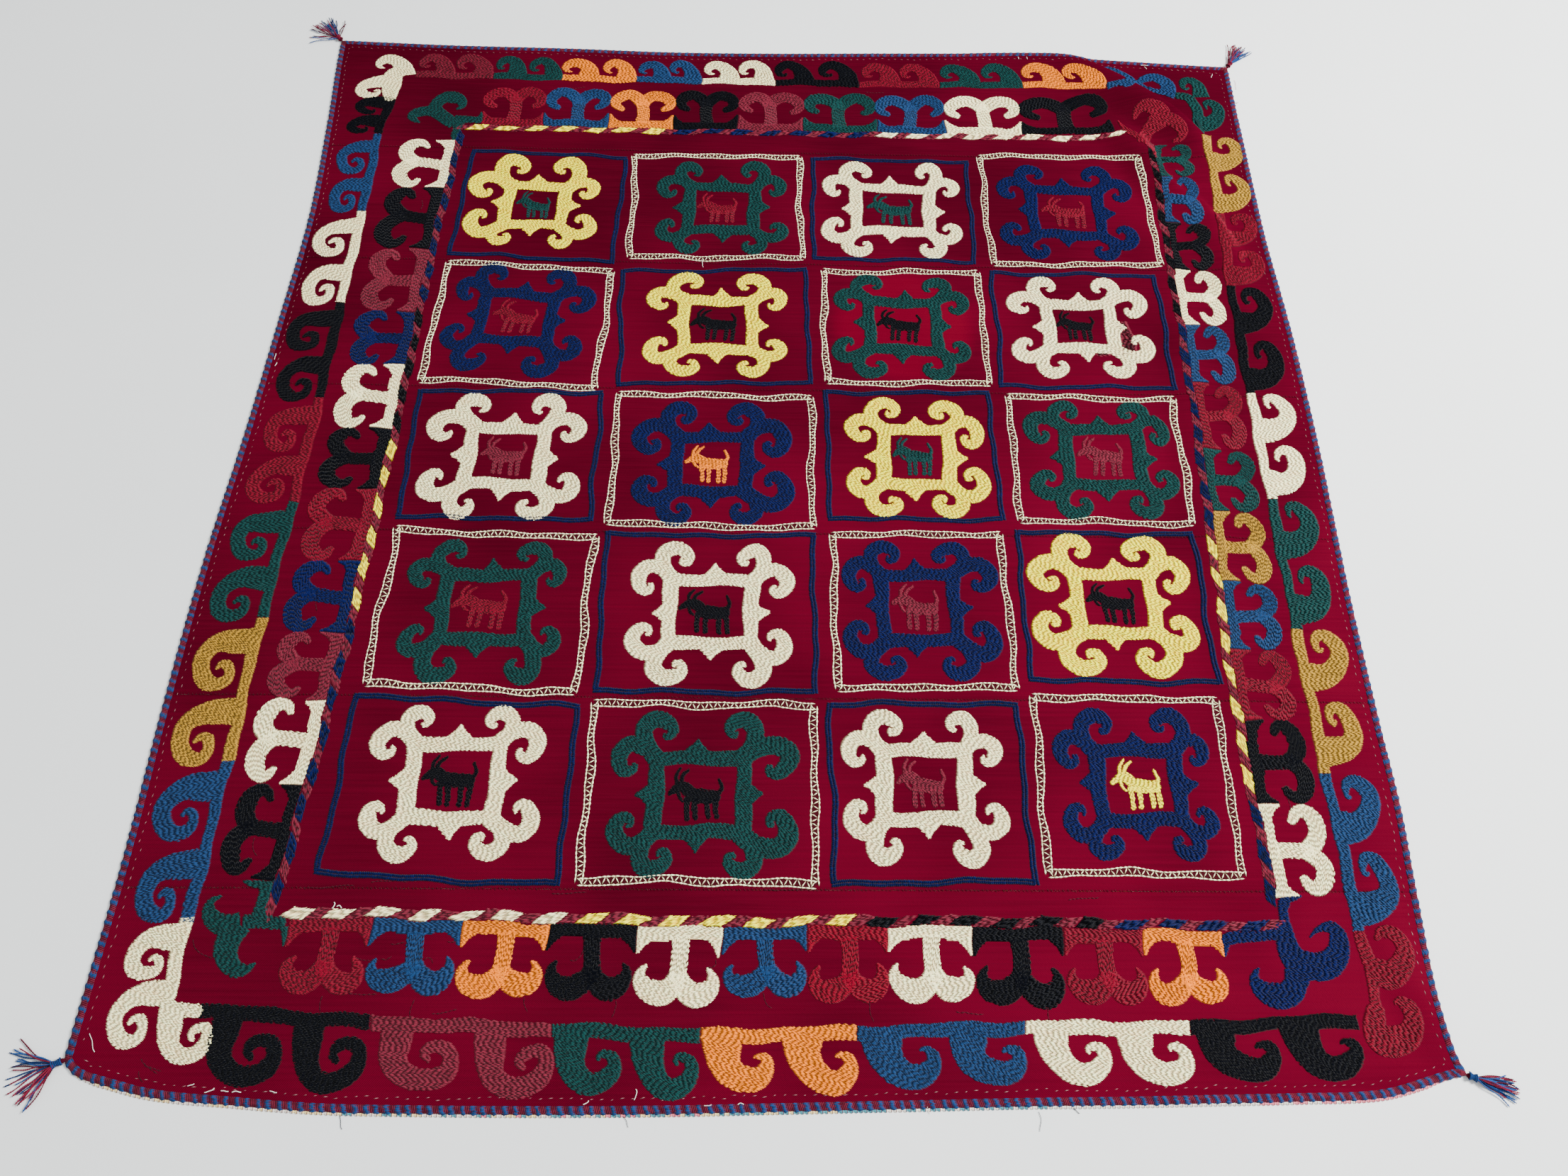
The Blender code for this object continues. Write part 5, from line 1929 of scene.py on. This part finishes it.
# %% Pen marks
# The maker's pattern was drawn on the wool with a dark pen: x, y, direction, length, bend (degrees)
PEN_MARKS = (
    (-768, -728, -50, 38, 34), (-798, -866, -35, 28, 12), (-792, -874, -18, 22, 0), (-797, -880, -60, 14, 20),
    (-612, -752, -8, 22, 20), (-597, -795, -84, 24, 18), (-565, -750, -8, 30, 12), (-566, -792, -4, 34, 14),
    (-485, -799, -100, 24, 24), (-524, -733, 2, 18, 8), (-533, -751, 12, 14, 30), (-480, -752, 10, 16, -80),
    (-455, -730, -2, 22, 10), (-462, -815, 4, 30, 10), (-640, -664, 0, 60, 4), (-560, -657, 2, 46, -6),
    (-300, -752, 20, 22, 50), (-352, -796, -80, 18, 30), (-240, -800, -96, 20, -20), (-130, -760, 30, 18, 60),
    (-60, -790, -70, 22, 34), (70, -800, -85, 24, 16), (176, -812, -10, 34, 8), (290, -806, -95, 18, 28),
    (-718, -600, -80, 26, 30), (-735, -420, 70, 22, 40), (-700, -250, -85, 24, 24), (-330, -670, 2, 44, 6),
    (-60, -664, -2, 50, 5), (330, -676, 3, 40, -8), (640, -560, 84, 24, 24), (664, -300, -86, 22, 20),
    (-660, 500, 80, 24, 26), (-430, 812, 6, 30, 14), (120, 815, -4, 34, 10), (-300, 780, -86, 18, 30),
)


def pen_marks():
    groups = []
    for x, y, direction, length, bend in PEN_MARKS:
        count = max(int(length / 5), 2)
        turn = np.radians(direction + bend * np.linspace(-0.5, 1.0, count) + chance.normal(0, 7, count))
        way = np.stack([np.cos(turn), np.sin(turn)], 1) * length / count
        first = np.cumsum(way, 0) - way + (x, y)
        groups.append(stitch_group(first - way * 0.1, first + way * 1.15, 1.6, 0.4))
    return groups


flat_piece("pen_marks", pen_marks(), wool_yarn("pen", dye(58, 4, 21)))
print("pen marks:", len(PEN_MARKS))

# %% Loose threads
THREAD_HEIGHT = 0.9
# x, y, direction, length, bend (degrees), thickness, and the yarn: 0 red, 1 dark, 2 white
THREADS = (
    (-554, -926, -80, 16, 30, 0.7, 1), (-225, -928, -55, 14, -20, 0.6, 1), (267, -922, -88, 22, -22, 0.6, 1),
    (308, -920, -40, 9, 10, 0.8, 1), (822, 842, 78, 26, 40, 0.5, 0), (806, 806, 4, 14, 40, 0.9, 1),
    (-172, 398, -84, 17, 18, 0.8, 2), (-866, -836, -66, 24, 18, 0.8, 2), (133, -912, -80, 14, 40, 0.7, 2),
    (-213, -912, 60, 13, 90, 1.0, 2), (-604, -690, 50, 9, 120, 1.3, 2), (-598, -688, 10, 8, -110, 1.2, 2),
    (-716, -903, 10, 12, 60, 1.2, 2), (-697, -901, -10, 9, 20, 1.1, 2), (-684, -903, 4, 11, -20, 1.1, 2),
    (-640, -901, -20, 9, 30, 0.9, 2), (-272, -916, 15, 8, 80, 1.1, 2), (-130, -917, -8, 9, 60, 1.0, 2),
    (-90, -917, 20, 8, -70, 1.0, 2), (-737, -896, 8, 8, 40, 1.0, 2), (466, 922, 2, 16, 6, 0.9, 2),
    (490, 923, -2, 14, -8, 0.9, 2), (648, 903, -4, 14, 6, 0.9, 2), (655, 899, -60, 7, 10, 1.0, 2),
    (430, 914, -80, 6, 10, 1.0, 2), (414, 915, -80, 6, 10, 1.0, 2), (-846, 300, 80, 9, 30, 1.0, 2),
    (-845, 172, 84, 12, 20, 1.0, 2), (-842, 160, 60, 7, 60, 1.0, 2), (778, 870, 60, 12, 30, 0.8, 2),
)


def thread_paths(rows, steps=12):
    share = np.linspace(0, 1, steps)
    paths = []
    for x, y, direction, length, bend, _, _ in rows:
        turn = np.radians(direction + bend * (share - 0.3) + 14 * np.sin(share * 7))
        way = np.stack([np.cos(turn), np.sin(turn)], 1) * length / (steps - 1)
        flat = np.cumsum(way, 0) + (x, y)
        on = edge_distance(*flat.T) > 0
        z = np.where(on, lift(*flat.T) + WOOL_TOP, 0) + THREAD_HEIGHT
        paths.append(np.concatenate([flat, z[:, None]], 1))
    return np.array(paths)


for name, kind, colour in (("dark_threads", 1, dye(24, 26, 38)), ("red_thread", 0, dye(170, 60, 76)),
                           ("white_threads", 2, dye(230, 222, 210))):
    rows = [row for row in THREADS if row[6] == kind]
    paths = thread_paths(rows)
    radius = np.tile(np.array([[row[5] / 2] for row in rows]), paths.shape[1])
    threads = tube_mesh(name, paths, radius)
    hold(threads, shade=0.5, ridge=1.0)
    add_piece(name, threads, wool_yarn(name, colour))
print("threads:", len(THREADS))

# %% [markdown]
# ## Camera, floor and light
# The camera stands where the picture's camera stood, fitted to the corners of the stitched squares. The
# floor is plain and pale, and one large soft light overhead with an even sky gives the soft daylight.

# %% Camera
CAMERA_PITCH = math.radians(27.55)
CAMERA_YAW = math.radians(-2.744)
CAMERA_ROLL = math.radians(2.973)
FOCAL_SHARE = 1660 / 2212

lens = bpy.data.cameras.new("camera")
lens.sensor_width = 36.0
lens.lens = 36.0 * FOCAL_SHARE
lens.clip_start = 0.01
camera = add_object("camera", lens)
turn = (Matrix.Rotation(CAMERA_YAW, 4, "Z") @ Matrix.Rotation(CAMERA_PITCH, 4, "X")
        @ Matrix.Rotation(CAMERA_ROLL, 4, "Z"))
spot = Vector((CAMERA_SPOT[0] + SHIFT[0], CAMERA_SPOT[1] + SHIFT[1], CAMERA_SPOT[2])) * MM
camera.matrix_world = Matrix.Translation(spot) @ turn
bpy.context.scene.camera = camera
print("camera at", tuple(round(c, 3) for c in spot))

# %% Floor and light
FLOOR_HALF = 6.0

paint = Finish("pale_floor", 0.9)
mottle = paint.noise(paint.place(), 2.0, 3.0)
paint.set("Base Color", paint.mix(mottle, dye(222, 224, 222), dye(232, 233, 231)))
floor_shape = bmesh.new()
bmesh.ops.create_grid(floor_shape, x_segments=1, y_segments=1, size=FLOOR_HALF)
floor_mesh = bpy.data.meshes.new("floor")
floor_shape.to_mesh(floor_mesh)
floor_shape.free()
floor_mesh.materials.append(paint.material)
floor = add_object("floor", floor_mesh)

sky = bpy.data.worlds.new("sky")
sky.use_nodes = True
background = sky.node_tree.nodes["Background"]
background.inputs["Color"].default_value = (0.93, 0.96, 1.0, 1.0)
background.inputs["Strength"].default_value = 1.12
bpy.context.scene.world = sky

WINDOW_SPOT = Vector((3.2, 0.2, 3.0))
WINDOW_SIZE = 1.3
WINDOW_POWER = 540

light = bpy.data.lights.new("window", "AREA")
light.shape = "SQUARE"
light.size = WINDOW_SIZE
light.energy = WINDOW_POWER
lamp = add_object("window", light)
lamp.location = WINDOW_SPOT
lamp.rotation_euler = (-WINDOW_SPOT).to_track_quat("-Z", "Y").to_euler()
print("floor and light set")
